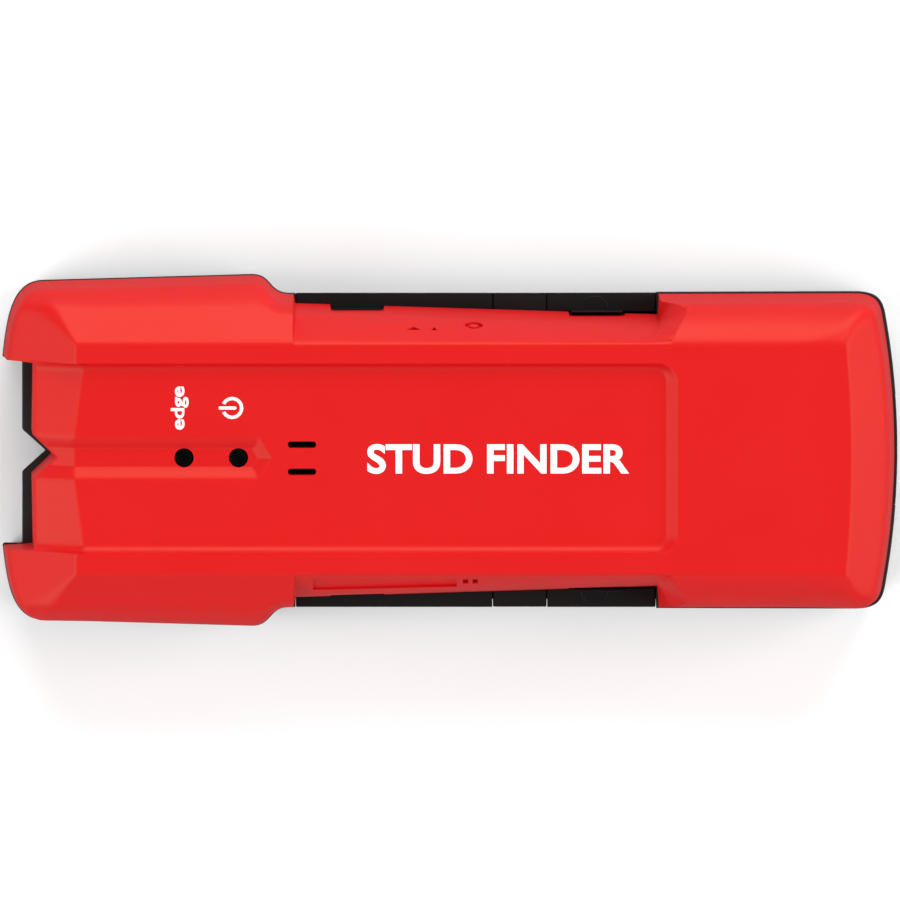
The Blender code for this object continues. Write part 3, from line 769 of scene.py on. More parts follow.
def coverMesh():
    c = cover
    e = c["edge"]
    xs, ys = coverLines()
    gx, gy, gz = deckGrid(xs, ys)
    nx, ny = gx.shape
    mid = ny // 2
    # border of the +Y half: front from the middle outwards, side, rear back to the middle
    front = [(0, j) for j in range(mid, ny)]
    side = [(i, ny - 1) for i in range(1, nx)]
    rear = [(nx - 1, j) for j in range(ny - 2, mid - 1, -1)]
    border = front + side + rear
    loop = np.array([(gx[k], gy[k], gz[k]) for k in border])
    x, y = loop[:, 0], loop[:, 1]
    rawX = np.array([xs[i] for i, _ in border])
    rawY = np.array([ys[j] for _, j in border])
    inner = c["railOut"] - e
    rf, rr = c["frontCorner"] - e, c["rearCorner"] - e
    onFront = (rawX == xs[0]) & (rawY < inner - rf + 1e-6)
    onRear = (rawX == xs[-1]) & (rawY < inner - rr + 1e-6)
    onSide = (rawY == ys[-1]) & (rawX > xs[0] + rf - 1e-6) & (rawX < xs[-1] - rr + 1e-6)
    rim, near, rest, steps = skirtColumns(loop, (onFront, onRear, onSide))
    # the deck's sharp edge line, one edge width outside the border
    outward = np.zeros_like(rim)
    outward[onFront] = (-1, 0)
    outward[onRear] = (1, 0)
    outward[onSide] = (0, 1)
    for cx, r, sign in ((xs[0] + rf, rf, -1), (xs[-1] - rr, rr, 1)):
        inCell = ((rawX - cx) * sign > 0) & (rawY > inner - r)
        u = np.clip((rawX - cx) * sign / r, 0, 1)
        v = np.clip((rawY - (inner - r)) / r, 0, 1)
        turn = np.stack([sign * u * np.sqrt(1 - v * v / 2), v * np.sqrt(1 - u * u / 2)], 1)
        turn /= np.maximum(np.linalg.norm(turn, axis=1), 1e-9)[:, None]
        outward[inCell] = turn[inCell]
    top = loop[:, :2] + outward * e

    def sloped(kind, rim):
        high = shellHeight(rim, np.zeros(len(rim)), kind)
        inwards = (top - rim) / np.linalg.norm(top - rim, axis=1)[:, None]
        lean = c["noseLean"] if kind == "nose" else c["lean"]
        target = rim + inwards * (lean * np.maximum(high - c["rimZ"], 0))[:, None]
        plan = columnPlan(top, target, near, rest)
        plan[:, 0] = loop[:, :2]
        # the first samples run straight out over the rounded edge
        span = np.linspace(0, 1, len(near))[None, :, None]
        straight = loop[:, None, :2] + (plan[:, len(near) - 1][:, None] - loop[:, None, :2]) * span
        plan[:, : len(near)] = straight
        left = np.linalg.norm(target[:, None] - plan, axis=2)
        z = shellHeight(plan, left, kind)
        z[:, 0] = loop[:, 2]
        plan, z = wallDown(plan, z, rim, steps)
        return np.concatenate([plan, z[..., None]], 2)

    wing = sloped("wing", rim)
    noseTarget = noseRim(y)
    nose = sloped("nose", noseTarget)
    rearSide = sloped("rear", rim)
    waistTarget = np.stack([x, waistRim(x)], 1)
    waist = waistColumns(top, waistTarget, near, rest, steps)
    columns = wing.copy()
    inNose = smooth((y - c["railIn"]) / c["noseWall"] + 1)
    frontPart = onFront[:, None, None]
    weight = inNose[:, None, None]
    columns = np.where(frontPart, nose + (wing - nose) * weight, columns)
    # waist begins with an upright step and ends in a leaning facet
    begin = smooth((x - c["waistFrom"]) / c["waistStep"])[:, None, None]
    columns = np.where(onSide[:, None, None] & (x < 0)[:, None, None], wing + (waist - wing) * begin, columns)
    # the far end is a leaning facet whose edge follows one column
    last = int(np.max(np.where(onSide & (x < c["waistTo"] + 0.01))[0]))
    depth = c["topZ"] - rearSide[last + 1, :, 2]
    ends = np.interp(depth, c["facetDepth"], c["facetX"])
    fade = 1 - smooth((x - x[last + 1]) / c["facetFade"])
    fade[: last + 1] = 0
    rearSide[..., 0] += (ends - rearSide[last + 1, :, 0])[None] * fade[:, None] * onSide[:, None]
    middle = (x >= 0) & onSide & (x < c["waistTo"] + 0.01)
    columns = np.where(middle[:, None, None], waist, columns)
    after = (x > c["waistTo"] + 0.01) & onSide
    columns = np.where(after[:, None, None], rearSide, columns)
    columns = np.where(((~onSide) & (x > 0))[:, None, None], rearSide, columns)
    columns[:, 0] = loop
    # foot of the wall
    foot = columns[:, -1:].copy()
    foot[..., 2] = c["rimZ"]
    columns = np.concatenate([columns, foot], 1)
    return (gx, gy, gz), border, columns


def makeCover():
    (gx, gy, gz), border, columns = coverMesh()
    nx, ny = gx.shape
    points = [np.stack([gx, gy, gz], 2).reshape(-1, 3)]
    faces = []
    for i in range(nx - 1):
        a, b = i * ny, (i + 1) * ny
        faces += [(a + j, b + j, b + j + 1, a + j + 1) for j in range(ny - 1)]
    mirrorColumns = columns[1:-1][::-1] * np.array([1, -1, 1])
    ring = np.concatenate([columns, mirrorColumns], 0)
    mirrorBorder = [(i, ny - 1 - j) for i, j in border[1:-1]][::-1]
    indices = [i * ny + j for i, j in border + mirrorBorder]
    count = len(indices)
    levels = ring.shape[1]
    base = nx * ny
    points.append(ring[:, 1:].transpose(1, 0, 2).reshape(-1, 3))

    def at(level, k):
        return indices[k % count] if level == 0 else base + (level - 1) * count + k % count

    for level in range(levels - 1):
        under = level + 1
        faces += [(at(level, k), at(level, k + 1), at(under, k + 1), at(under, k)) for k in range(count)]
    faces.append(tuple(at(levels - 1, k) for k in range(count)))
    return newPiece("coverShell", np.concatenate(points), faces, finishes["red_plastic"], 30)


openings = {
    "windowRadius": 1.7,
    "slotAway": 2.4,
    "slotHalf": 0.58,
    "slotRound": 0.5,
    "tabs": ((-21.0, -11.8), (21.1, 30.9)),
    "tabIn": (24.95, 23.95),
    "tabTop": 20.5,
    "tabFlare": 1.6,
    "through": (18.0, 36.0),
}

# screw bosses inside the cover
bosses = {"radius": 3.2, "top": 26.4, "pilotRadius": 1.55, "pilot": (11.0, 24.0)}

# hollows under the cover: x span, half-widths below and above, ceiling, how far the ends lean in
bays = {
    "wings": ((-67.5, -30.5), (27.6, 17.6), 28.0, (18.0, 6.0)),
    "waist": ((-31.5, 38.5), (21.6, 18.6), 28.4, (0.0, 0.0)),
    "rear": ((38.0, 75.0), (25.3, 17.6), 29.0, (0.0, 7.0)),
}


def roundedBox(name, x, y, z, radius, sides=6, finish=None):
    # a plate with round corners in plan
    loop = []
    for cx, cy, start in ((x[1], y[1], 0), (x[0], y[1], 90), (x[0], y[0], 180), (x[1], y[0], 270)):
        ix = cx - radius if cx == x[1] else cx + radius
        iy = cy - radius if cy == y[1] else cy + radius
        for angle in np.radians(np.linspace(start, start + 90, sides)):
            loop.append((ix + radius * math.cos(angle), iy + radius * math.sin(angle)))
    return prismPiece(name, loop, z, finish or finishes["red_plastic"])


marks = {
    "ringX": 4.2,
    "ringRadius": 1.75,
    "arrowX": -5.0,
    "outY": 23.2,
    "depth": 0.6,
    "seatX": (-24.2, 1.2),
    "seatShare": (0.22, 0.86),
    "seatDepth": 0.75,
    "smallX": (2.3, 4.0),
    "smallLong": 0.9,
    "smallShare": (0.3, 0.6),
    "wallLean": math.radians(31),
}


def onSurface(shell, x, y):
    # the point of the cover straight below a plan place, and its outward direction
    _, place, normal, _ = shell.ray_cast(Vector((x, y, 60)) * mm, Vector((0, 0, -1)))
    return place / mm, normal.to_track_quat("Z", "X").to_matrix()


def markCover(shell):
    m = marks
    red = finishes["red_plastic"]
    # shallow moulded marks on one scooped wall: a ring and an arrow
    place, turn = onSurface(shell, m["ringX"], m["outY"])
    outer = ((m["ringRadius"] - 0.2, -m["depth"]), (m["ringRadius"], 1.0))
    tool = turnedPiece("ringMark", outer, place, red, 40, turn)
    core = ((m["ringRadius"] - 0.75, -1.0), (m["ringRadius"] - 0.95, -0.12))
    carve(tool, turnedPiece("ringCore", core, place, red, 32, turn))
    carve(shell, tool)
    place, turn = onSurface(shell, m["arrowX"], m["outY"] - 0.5)
    for run, wide in ((-1.4, 1.3), (2.2, 0.55)):
        loop = [Vector((0.5, run - wide, 0)), Vector((0.5, run + wide, 0)), Vector((-0.7, run, 0))]
        rings = [[tuple(place + turn @ (p + Vector((0, 0, h)))) for p in loop] for h in (-m["depth"], 1.0)]
        carve(shell, ringSolid("arrowMark", rings, red))
    # a long shallow seat on the other wall, with two small marks after it
    out, up = math.cos(m["wallLean"]), math.sin(m["wallLean"])
    spans = [(m["seatX"], *m["seatShare"])]
    spans += [((x, x + m["smallLong"]), *m["smallShare"]) for x in m["smallX"]]
    for span, first, last in spans:
        rings = []
        for x in span:
            run = waistRim(x) - cover["railOut"] - cover["shoulderIn"]
            ring = []
            for share, lift in ((first, -m["seatDepth"]), (first, 3.0), (last, 3.0), (last, -m["seatDepth"])):
                away = cover["railOut"] + share * run + lift * out
                ring.append((x, -away, cover["topZ"] - cover["shoulderDrop"] * share + lift * up))
            rings.append(ring)
        carve(shell, ringSolid("seat", rings, red))


def hollowCover(shell):
    red = finishes["red_plastic"]
    for (start, end), (wide, narrow), ceiling, (front, rear) in bays.values():
        rings = []
        for z, half, a, b in ((10.0, wide, 0, 0), (18.5, wide, 0, 0), (ceiling, narrow, front, rear)):
            x = (start + a, end - b)
            rings.append([(x[0], -half, z), (x[1], -half, z), (x[1], half, z), (x[0], half, z)])
        carve(shell, ringSolid("bay", rings, red))
    for number in range(1, 5):
        centre = axisOf(f"case_screw_{number}")
        boss = [(bosses["radius"], z) for z in (cover["rimZ"], bosses["top"])]
        pilot = [(bosses["pilotRadius"], z) for z in bosses["pilot"]]
        carve(shell, turnedPiece("boss", boss, centre, red, 40), "UNION")
        carve(shell, turnedPiece("pilot", pilot, centre, red, 32))


def openCover(shell):
    o = openings
    red = finishes["red_plastic"]
    for node in ("edge_light_pipe", "power_light_pipe"):
        profile = [(o["windowRadius"], z) for z in o["through"]]
        carve(shell, turnedPiece("window", profile, (middleMm(node)[0], 0, 0), red, 48))
    slotX = middleMm("sounder_case")[0]
    for side in (-1, 1):
        y = sideSpan(side, o["slotAway"] - o["slotHalf"], o["slotAway"] + o["slotHalf"])
        tool = roundedBox("slot", (slotX - 2.5, slotX + 2.5), y, o["through"], o["slotRound"])
        carve(shell, tool)
        for (start, end), inside in zip(o["tabs"], o["tabIn"]):
            near, far = inside * side, 31.0 * side
            flare = o["tabFlare"]
            ring = [(start, near), (end, near), (end + flare, far), (start - flare, far)]
            carve(shell, prismPiece("tabNotch", ring, (10.0, o["tabTop"]), red))


shell = makeCover()
hollowCover(shell)
openCover(shell)
markCover(shell)
show(shell, "case", "red_plastic", "top_housing")
print("cover made", len(shell.data.polygons))


# ---- black tray

tray = {
    "height": trayHigh[2],
    "draft": 1.0,
    "floor": 2.0,
    "wallOut": 24.2,
    "wallIn": 22.2,
    "footRound": 0.5,
    "rimRound": 0.22,
    "seatRadius": 3.0,
    "seatDepth": 3.0,
}


def closedOutline(amount):
    # whole outline moved inwards by an amount; the small corners are set out afresh each time
    o = outline
    flank = np.array([o["notchApex"] - o["frontX"], o["notchHalf"]])
    normal = np.array([flank[1], flank[0]]) / np.linalg.norm(flank)
    apex = (o["notchApex"] + amount / normal[0], 0.0)
    frontX, hornY, tip = o["frontX"] + amount, o["hornIn"] + amount, tipX + amount
    mouth = (frontX, (normal[0] * (apex[0] - frontX)) / normal[1])
    inner, point, above = (frontX, hornY), (tip, hornY), (tip, hornY + 3)
    corners = [np.array(apex)] + eased(mouth, apex, inner, 0.35) + eased(inner, mouth, point, 0.35)
    corners += eased(point, inner, above, 0.55)
    curve = insetLine(outerEdge()[6:], amount)
    start = hornY + 0.6 - curve[0, 1]
    curve[:, 1] += start * np.clip(1 - (curve[:, 1] - curve[0, 1]) / 8.0, 0, 1) * (curve[:, 0] < -70)
    curve[-1, 1] = 0.0
    half = np.vstack([corners, curve])
    other = half[1:-1][::-1] * np.array([1, -1])
    return np.vstack([half, other])


def draftAt(z):
    return tray["draft"] * (tray["height"] - z) / tray["height"]


def trayRings():
    t = tray
    rings = []
    for angle in np.linspace(0, math.pi / 2, 5):
        z = t["footRound"] * (1 - math.cos(angle))
        rings.append((z, draftAt(z) + t["footRound"] * (1 - math.sin(angle))))
    for angle in np.linspace(0, math.pi / 2, 4):
        z = t["height"] - t["rimRound"] * (1 - math.sin(angle))
        rings.append((z, draftAt(z) + t["rimRound"] * (1 - math.cos(angle))))
    return [[(x, y, z) for x, y in closedOutline(amount)] for z, amount in rings]


def mirrorLoop(half):
    return half + [(x, -y) for x, y in reversed(half[1:-1])]


def trayCavity():
    w = tray["wallIn"]
    half = [(-69.2, 0.0), (-70.4, 1.1), (-73.3, 4.8), (-73.3, 18.0), (-76.3, 18.4), (-75.0, 24.5)]
    half += [(-73.2, 27.6), (-71.6, 28.2), (-36.0, 29.0), (-33.0, 26.4), (-30.0, w), (39.0, w)]
    half += [(41.0, 26.0), (71.5, 26.2), (74.4, 25.0), (75.4, 22.8), (rearBow(12.0) - 2.2, 12.0)]
    loop = mirrorLoop(half + [(rearX - 2.2, 0.0)])
    return prismPiece("cavity", loop, (tray["floor"], 20.0), finishes["black_plastic"])


def makeTray():
    t = tray
    black = finishes["black_plastic"]
    made = ringSolid("trayShell", trayRings(), black)
    carve(made, trayCavity())
    keyLow, keyHigh = boxMm("power_key_right")
    waist = (cover["waistFrom"] + 0.35, cover["waistTo"] - 0.2)
    flange = 1.2
    window = (keyLow[0] + flange - 0.3, keyHigh[0] - flange + 0.3)
    for side in (-1, 1):
        carve(made, block("gripSeat", waist, sideSpan(side, t["wallOut"], 40.0), (t["floor"], 20.0)))
        carve(made, block("keyWindow", window, sideSpan(side, 20.0, 26.0), (keyLow[2] - 0.3, 20.0)))
        carve(made, block("bayRib", (22.0, 72.0), sideSpan(side, 18.0, 19.2), (1.0, 11.0)), "UNION")
    for number in range(1, 5):
        centre = axisOf(f"case_screw_{number}")
        carve(made, turnedPiece("boss", ((3.6, 1.0), (3.6, t["height"])), centre, black, 40), "UNION")
        carve(made, turnedPiece("bore", ((1.7, -1.0), (1.7, 20.0)), centre, black, 32))
        seat = ((t["seatRadius"] + 0.4, -0.1), (t["seatRadius"], 0.3), (t["seatRadius"], t["seatDepth"]))
        carve(made, turnedPiece("well", seat, centre, black, 48))
    for name in ("board_screw_1", "board_screw_2"):
        centre = (middleMm(name)[0], 0, 0)
        carve(made, turnedPiece("post", ((2.6, 1.0), (2.6, 4.2)), centre, black, 32), "UNION")
        carve(made, turnedPiece("postHole", ((1.2, 1.5), (1.2, 9.0)), centre, black, 24))
    doorLow, doorHigh = boxMm("battery_door")
    wide = door["half"] + 0.3
    carve(made, block("doorGap", (doorLow[0] - 0.3, 90.0), (-wide, wide), (-1.0, t["floor"] + 0.1)))
    wide = doorHigh[1] + 0.3
    carve(made, block("tongueGap", (74.0, 90.0), (-wide, wide), (t["floor"] - 0.1, 3.9)))
    wide = door["lipHalf"] + 0.15
    carve(made, block("lipGap", (74.0, 90.0), (-wide, wide), (t["floor"], 20.0)))
    label = roundedBox("labelSeat", (-47.0, -1.0), (-13.0, 13.0), (-1.0, 0.3), 1.6, 8, black)
    carve(made, label)
    show(made, "case", "black_plastic", "base_housing")


# ---- battery cover

door = {
    "half": 15.2,
    "lipHalf": 9.7,
    "lipIn": 76.9,
    "edge": 0.25,
    "padX": (57.0, 71.0),
    "padHalf": 9.0,
    "padDepth": 0.6,
    "ridges": 8,
    "ridgeStep": 1.7,
}


def spreadGroup():
    # copies of the incoming shape along a line
    group = bpy.data.node_groups.new("spread", "GeometryNodeTree")
    kinds = (("Shape", "Geometry"), ("Count", "Int"), ("Step", "Vector"), ("Finish", "Material"))
    for name, kind in kinds:
        group.interface.new_socket(name, in_out="INPUT", socket_type="NodeSocket" + kind)
    group.interface.new_socket("Shape", in_out="OUTPUT", socket_type="NodeSocketGeometry")
    entry, leave = (group.nodes.new(kind) for kind in ("NodeGroupInput", "NodeGroupOutput"))
    kinds = ("MeshLine", "InstanceOnPoints", "RealizeInstances", "SetMaterial")
    line, copies, real, dress = (group.nodes.new("GeometryNode" + kind) for kind in kinds)
    pairs = (
        (entry.outputs["Count"], line.inputs["Count"]),
        (entry.outputs["Step"], line.inputs["Offset"]),
        (line.outputs["Mesh"], copies.inputs["Points"]),
        (entry.outputs["Shape"], copies.inputs["Instance"]),
        (copies.outputs["Instances"], real.inputs["Geometry"]),
        (real.outputs["Geometry"], dress.inputs["Geometry"]),
        (entry.outputs["Finish"], dress.inputs["Material"]),
        (dress.outputs["Geometry"], leave.inputs["Shape"]),
    )
    for start, end in pairs:
        group.links.new(start, end)
    return group


spread = spreadGroup()


def repeat(shape, count, step, finish):
    change = shape.modifiers.new("copies", "NODES")
    change.node_group = spread
    sockets = {item.name: item.identifier for item in spread.interface.items_tree if item.in_out == "INPUT"}
    change[sockets["Count"]] = count
    change[sockets["Step"]] = [v * mm for v in step]
    change[sockets["Finish"]] = finish
    settle(shape)


def rearCap(x, half, inset):
    # plan loop of something that ends at the bowed rear
    ys = np.linspace(-half, half, 19)
    return [(x, half), (x, -half)] + [(rearBow(y) - inset, y) for y in ys]


def makeDoor():
    d = door
    black = finishes["black_plastic"]
    low, high = boxMm("battery_door")
    plate = rearCap(low[0], d["half"], tray["draft"] + 0.05)
    made = prismPiece("doorPlate", plate, (low[2], tray["floor"] - 0.1), black)
    addBevel(made, d["edge"])
    rings = []
    for z in (low[2] + 0.5, high[2] - 0.3, high[2]):
        back = draftAt(z) + (0.3 if z == high[2] else 0.02)
        rings.append([(x, y, z) for x, y in rearCap(d["lipIn"], d["lipHalf"], back)])
    carve(made, ringSolid("lip", rings, black), "UNION")
    for side in (-1, 1):
        y = sideSpan(side, d["half"] - 1.4, d["half"])
        carve(made, block("wall", (low[0] + 1.7, 73.0), y, (1.0, 3.4)), "UNION")
        y = sideSpan(side, d["half"] - 0.8, high[1])
        tongue = block("tongue", (low[0] + 2.2, 72.5), y, (tray["floor"] + 0.3, 3.3), None, 0.2)
        carve(made, tongue, "UNION")
    padTop = low[2] + d["padDepth"]
    pad = roundedBox("pad", d["padX"], (-d["padHalf"], d["padHalf"]), (-1.0, padTop), 2.0, 8, black)
    carve(made, pad)
    first = d["padX"][0] + 0.75
    ridge = block("ridge", (first, first + 0.8), (-7.4, 7.4), (low[2] + 0.02, padTop + 0.2), black, 0.25)
    repeat(ridge, d["ridges"], (d["ridgeStep"], 0, 0), black)
    carve(made, ridge, "UNION")
    show(made, "door", "black_plastic", "battery_door")


# ---- grips and keys

grip = {
    "in": 24.5,
    "edge": 0.25,
    "tabY": ((24.98, 25.25), (24.5, 24.9)),
    "ribs": (17, 9),
    "ribFrom": (-24.6, 19.6),
    "ribStep": 1.75,
    "ribWide": 0.7,
    "ribDepth": 0.35,
    "ringX": 25.6,
    "ringRadius": 2.37,
}


def slab(name, x, side, inner, z, edge):
    # a bar along the side whose outer face leans with the tray
    points = []
    for h in z:
        out = outline["waistHalf"] - draftAt(h)
        loop = [(x[0], inner), (x[1], inner), (x[1], out), (x[0], out)]
        points += [(a, b * side, h) for a, b in loop]
    made = newPiece(name, points, ringFaces(4, 2), finishes["soft_black"])
    addBevel(made, edge, 4)
    return made


def makeGrip(side, name):
    g = grip
    soft = finishes["soft_black"]
    low, high = boxMm(f"side_grip_{name}")
    z = (low[2], tray["height"])
    made = slab(f"gripBar{name.title()}", (low[0], high[0]), side, g["in"], z, g["edge"])
    for (start, end), depth in zip(openings["tabs"], g["tabY"]):
        tab = block("tab", (start + 0.3, end - 0.3), sideSpan(side, *depth), (10.0, high[2]), soft, 0.2)
        carve(made, tab, "UNION")
    keyLow, keyHigh = boxMm(f"power_key_{name}")
    gap = (keyLow[0] + 1.38, keyHigh[0] - 1.38)
    carve(made, block("keyGap", gap, sideSpan(side, 20.0, 40.0), (keyLow[2] - 0.3, 20.0), soft))
    mid = outline["waistHalf"] - draftAt(7.0)
    y = sideSpan(side, mid - g["ribDepth"], mid + 2.0)
    for count, start in zip(g["ribs"], g["ribFrom"]):
        tool = block("rib", (start, start + g["ribWide"]), y, (4.0, 10.2), soft, 0.2)
        repeat(tool, count, (g["ribStep"], 0, 0), soft)
        carve(made, tool)
    show(made, "case", "soft_black", f"side_grip_{name}")
    z = (tray["height"] - 0.1, tray["height"] + 0.06)
    centre = (g["ringX"], side * 24.9)
    ring = arcBand(f"gripRing{name.title()}", g["ringRadius"], 0.16, 0, 2 * math.pi, centre, z, 60)
    ring.data.materials[0] = finishes["black_plastic"]
    show(ring, "case")


key = {"edge": 0.25, "flangeIn": 20.5, "flangeOut": 21.6, "marks": 4, "markStep": 2.0}


def makeKey(side, name):
    k = key
    soft = finishes["soft_black"]
    low, high = boxMm(f"power_key_{name}")
    span = (low[0] + 1.5, high[0] - 1.5)
    made = slab(f"keyCap{name.title()}", span, side, 21.4, (low[2], high[2]), k["edge"])
    y = sideSpan(side, k["flangeIn"], k["flangeOut"])
    carve(made, block("flange", (low[0], high[0]), y, (4.4, 10.8), soft, 0.2), "UNION")
    mid = outline["waistHalf"] - draftAt(7.5)
    y = sideSpan(side, mid - 0.3, mid + 2.0)
    tool = block("mark", (span[0] + 1.4, span[0] + 2.0), y, (5.4, 9.8), soft, 0.2)
    repeat(tool, k["marks"], (k["markStep"], 0, 0), soft)
    carve(made, tool)
    show(made, f"key_{name}", "soft_black", f"power_key_{name}")


makeTray()
print("tray made")
makeDoor()
print("battery cover made")
for side, name in ((1, "right"), (-1, "left")):
    makeGrip(side, name)
    makeKey(side, name)
print("grips and keys made")


# ---- white print

ink = {
    "thickness": 0.04,
    "words": {"height": 5.3, "span": 46.2, "at": (8.5, -0.1), "weight": 0.028},
    "edge": {"height": 3.15, "span": 7.65, "at": (-47.65, 8.9), "weight": 0.023},
    "icon": {"at": (-38.4, 8.9), "radius": 1.66, "line": 0.6, "gap": 25, "bar": (-2.4, 0.75, 0.28)},
}


def inkText(name, text, size, z, turn=0.0):
    # plain letters, scaled so that they fill the given span and height
    curve = bpy.data.curves.new(name, "FONT")
    curve.body = text
    curve.align_x = "CENTER"
    curve.offset = size["weight"]
    curve.extrude = 0.01
    curve.resolution_u = 6
    source = linked(name, curve)
    graph = bpy.context.evaluated_depsgraph_get()
    mesh = bpy.data.meshes.new_from_object(source.evaluated_get(graph))
    bpy.data.objects.remove(source, do_unlink=True)
    spots = np.array([v.co for v in mesh.vertices])
    low, high = spots.min(0), spots.max(0)
    flat = (spots - (low + high) / 2) / (high - low)
    flat = flat * np.array([size["span"], size["height"], ink["thickness"]])
    c, d = math.cos(turn), math.sin(turn)
    turned = np.stack([flat[:, 0] * c - flat[:, 1] * d, flat[:, 0] * d + flat[:, 1] * c, flat[:, 2]], 1)
    for vertex, place in zip(mesh.vertices, turned + np.array((*size["at"], z))):
        vertex.co = place * mm
    mesh.materials.clear()
    mesh.materials.append(finishes["ink"])
    show(linked(name, mesh), "case")


def makePrint():
    panelZ = cover["topZ"] - cover["panelDrop"]
    middle = panelZ + ink["thickness"] / 2
    inkText("wordsPrint", "STUD FINDER", ink["words"], middle)
    inkText("edgePrint", "edge", ink["edge"], middle, math.pi / 2)
    icon = ink["icon"]
    x, y = icon["at"]
    z = (panelZ - 0.01, panelZ + ink["thickness"])
    gap = math.radians(icon["gap"])
    ring = arcBand("powerRing", icon["radius"], icon["line"], math.pi + gap, 3 * math.pi - gap, (x, y), z)
    start, end, half = icon["bar"]
    bar = roundedBox("powerBar", (x + start, x + end), (y - half, y + half), z, 0.25, 5, finishes["ink"])
    for made in (ring, bar):
        show(made, "case")


makePrint()
print("print made")


# ---- screws, windows and what is inside


def softened(profile, radius):
    # rounds the corners of a (radius, height) profile
    made = [profile[0]]
    for before, here, after in zip(profile, profile[1:], profile[2:]):
        a, b, c = (np.array(p, float) for p in (before, here, after))
        r = min(radius, np.linalg.norm(b - a) * 0.45, np.linalg.norm(c - b) * 0.45)
        made += [tuple(p) for p in eased(here, before, after, r)]
    return made + [profile[-1]]


def makeCaseScrews():
    steel = finishes["steel"]
    head = [(0.3, 0.8), (1.9, 0.86), (2.6, 1.5), (2.6, 2.4), (1.3, 2.7), (1.3, 18.0), (0.3, 19.4)]
    for number in range(1, 5):
        node = f"case_screw_{number}"
        centre = axisOf(node)
        made = turnedPiece(f"caseScrew{number}", softened(head, 0.4), centre, steel, 40)
        for along, across in ((1.45, 0.32), (0.32, 1.45)):
            rings = []
            for z, share in ((0.0, 1.0), (1.9, 0.55)):
                a, b = along * share, across * share
                loop = [(-a, -b), (a, -b), (a, b), (-a, b)]
                rings.append([(centre[0] + x, centre[1] + y, z) for x, y in loop])
            carve(made, ringSolid("drive", rings, steel))
        show(made, "case", "steel", node)


def makeWindows():
    # the windows are coloured near-black as painted shade for the dark inside of each hole, and the diode
    # lamps sit under them
    paintedShadeLens = finishes["smoked_lens"]
    profile = [(0.3, 11.7), (2.6, 11.7), (2.6, 13.2), (1.5, 13.6), (1.5, 29.9), (1.35, 30.25), (0.1, 30.4)]
    for name in ("edge", "power"):
        x = middleMm(f"{name}_light_pipe")[0]
        made = turnedPiece(f"{name}Window", softened(profile, 0.25), (x, 0, 0), paintedShadeLens, 48)
        show(made, "case", "smoked_lens", f"{name}_light_pipe")
        floor = boxMm(f"{name}_diode")[0][2]
        dome = [(0.3, floor), (1.9, floor), (1.9, floor + 1.0), (1.5, floor + 1.0), (1.5, 9.8)]
        dome += [(1.5 * math.cos(a), 9.8 + 1.5 * math.sin(a)) for a in np.linspace(0.15, 1.5, 9)]
        lamp = turnedPiece(f"{name}Lamp", dome, (x, 0, 0), finishes[f"{name}_diode"], 40)
        show(lamp, "case", f"{name}_diode", f"{name}_diode")


def roundedCopy(node, name, slot, width):
    # the node's own form with its edges eased
    mesh = nodes[node].data.copy()
    work = bmesh.new()
    work.from_mesh(mesh)
    bmesh.ops.remove_doubles(work, verts=work.verts, dist=2e-6)
    flat = math.radians(1)
    bmesh.ops.dissolve_limit(work, angle_limit=flat, verts=work.verts, edges=work.edges)
    bmesh.ops.recalc_face_normals(work, faces=work.faces)
    work.to_mesh(mesh)
    work.free()
    mesh.materials.clear()
    mesh.materials.append(finishes[slot])
    made = linked(name, mesh)
    addBevel(made, width)
    show(made, "case", slot, node)


def makeBoardParts():
    roundedCopy("controller_chip", "chipBody", "chip_epoxy", 0.25)
    roundedCopy("voltage_regulator", "regulatorBody", "chip_epoxy", 0.2)
    roundedCopy("crystal", "crystalCan", "steel", 0.3)
    roundedCopy("snap_connector", "snapCarrier", "soft_black", 0.3)
    for name in ("right", "left"):
        roundedCopy(f"sensor_plate_{name}", f"sensorPlate{name.title()}", "copper", 0.12)
        roundedCopy(f"switch_{name}", f"switchCase{name.title()}", "black_plastic", 0.15)
    steel = finishes["steel"]
    legs = {
        "chipLegs": ("controller_chip", 7, 1.27, 0.45),
        "regulatorLegs": ("voltage_regulator", 3, 1.5, 0.6),
    }
    for name, (node, count, step, wide) in legs.items():
        low, high = boxMm(node)
        boardTop = boxMm("circuit_board")[1][2]
        x = (low[0] + high[0]) / 2 - step * (count - 1) / 2
        for side in (-1, 1):
            edge = high[1] if side > 0 else low[1]
            profile = [(edge - side * 0.3, low[2] + 1.1), (edge + side * 0.5, low[2] + 1.1)]
            profile += [(edge + side * 0.8, boardTop + 0.15), (edge + side * 1.5, boardTop + 0.15)]
            under = [(y, z - 0.14) for y, z in reversed(profile)]
            loop = profile + under
            rings = [[(h, y, z) for y, z in loop] for h in (x - wide / 2, x + wide / 2)]
            leg = ringSolid(f"{name}{'Right' if side > 0 else 'Left'}", rings, steel)
            repeat(leg, count, (step, 0, 0), steel)
            show(leg, "case")
    makeCapacitor()
    makeResistors()
    makeSounder()


def makeCapacitor():
    low, high = boxMm("storage_capacitor")
    centre = axisOf("storage_capacitor")
    r = (high[0] - low[0]) / 2
    top, base = high[2], low[2]
    can = [(0.3, base), (r - 0.3, base), (r - 0.25, base + 0.8), (r, base + 1.3), (r, top - 0.5)]
    can += [(r - 0.4, top - 0.02), (r - 0.7, top - 0.1), (0.2, top - 0.1)]
    made = turnedPiece("capacitorCan", softened(can, 0.3), centre, finishes["blue_sleeve"], 48)
    show(made, "case", "blue_sleeve", "storage_capacitor")
    lid = ((0.2, top - 0.12), (r - 0.75, top - 0.12), (r - 0.8, top - 0.03), (0.2, top - 0.03))
    show(turnedPiece("capacitorTop", lid, centre, finishes["steel"], 48), "case")


bands = {"resistor_1": (0.35, 0.05, 0.02), "resistor_2": (0.02, 0.02, 0.02), "resistor_3": (0.5, 0.12, 0.0)}


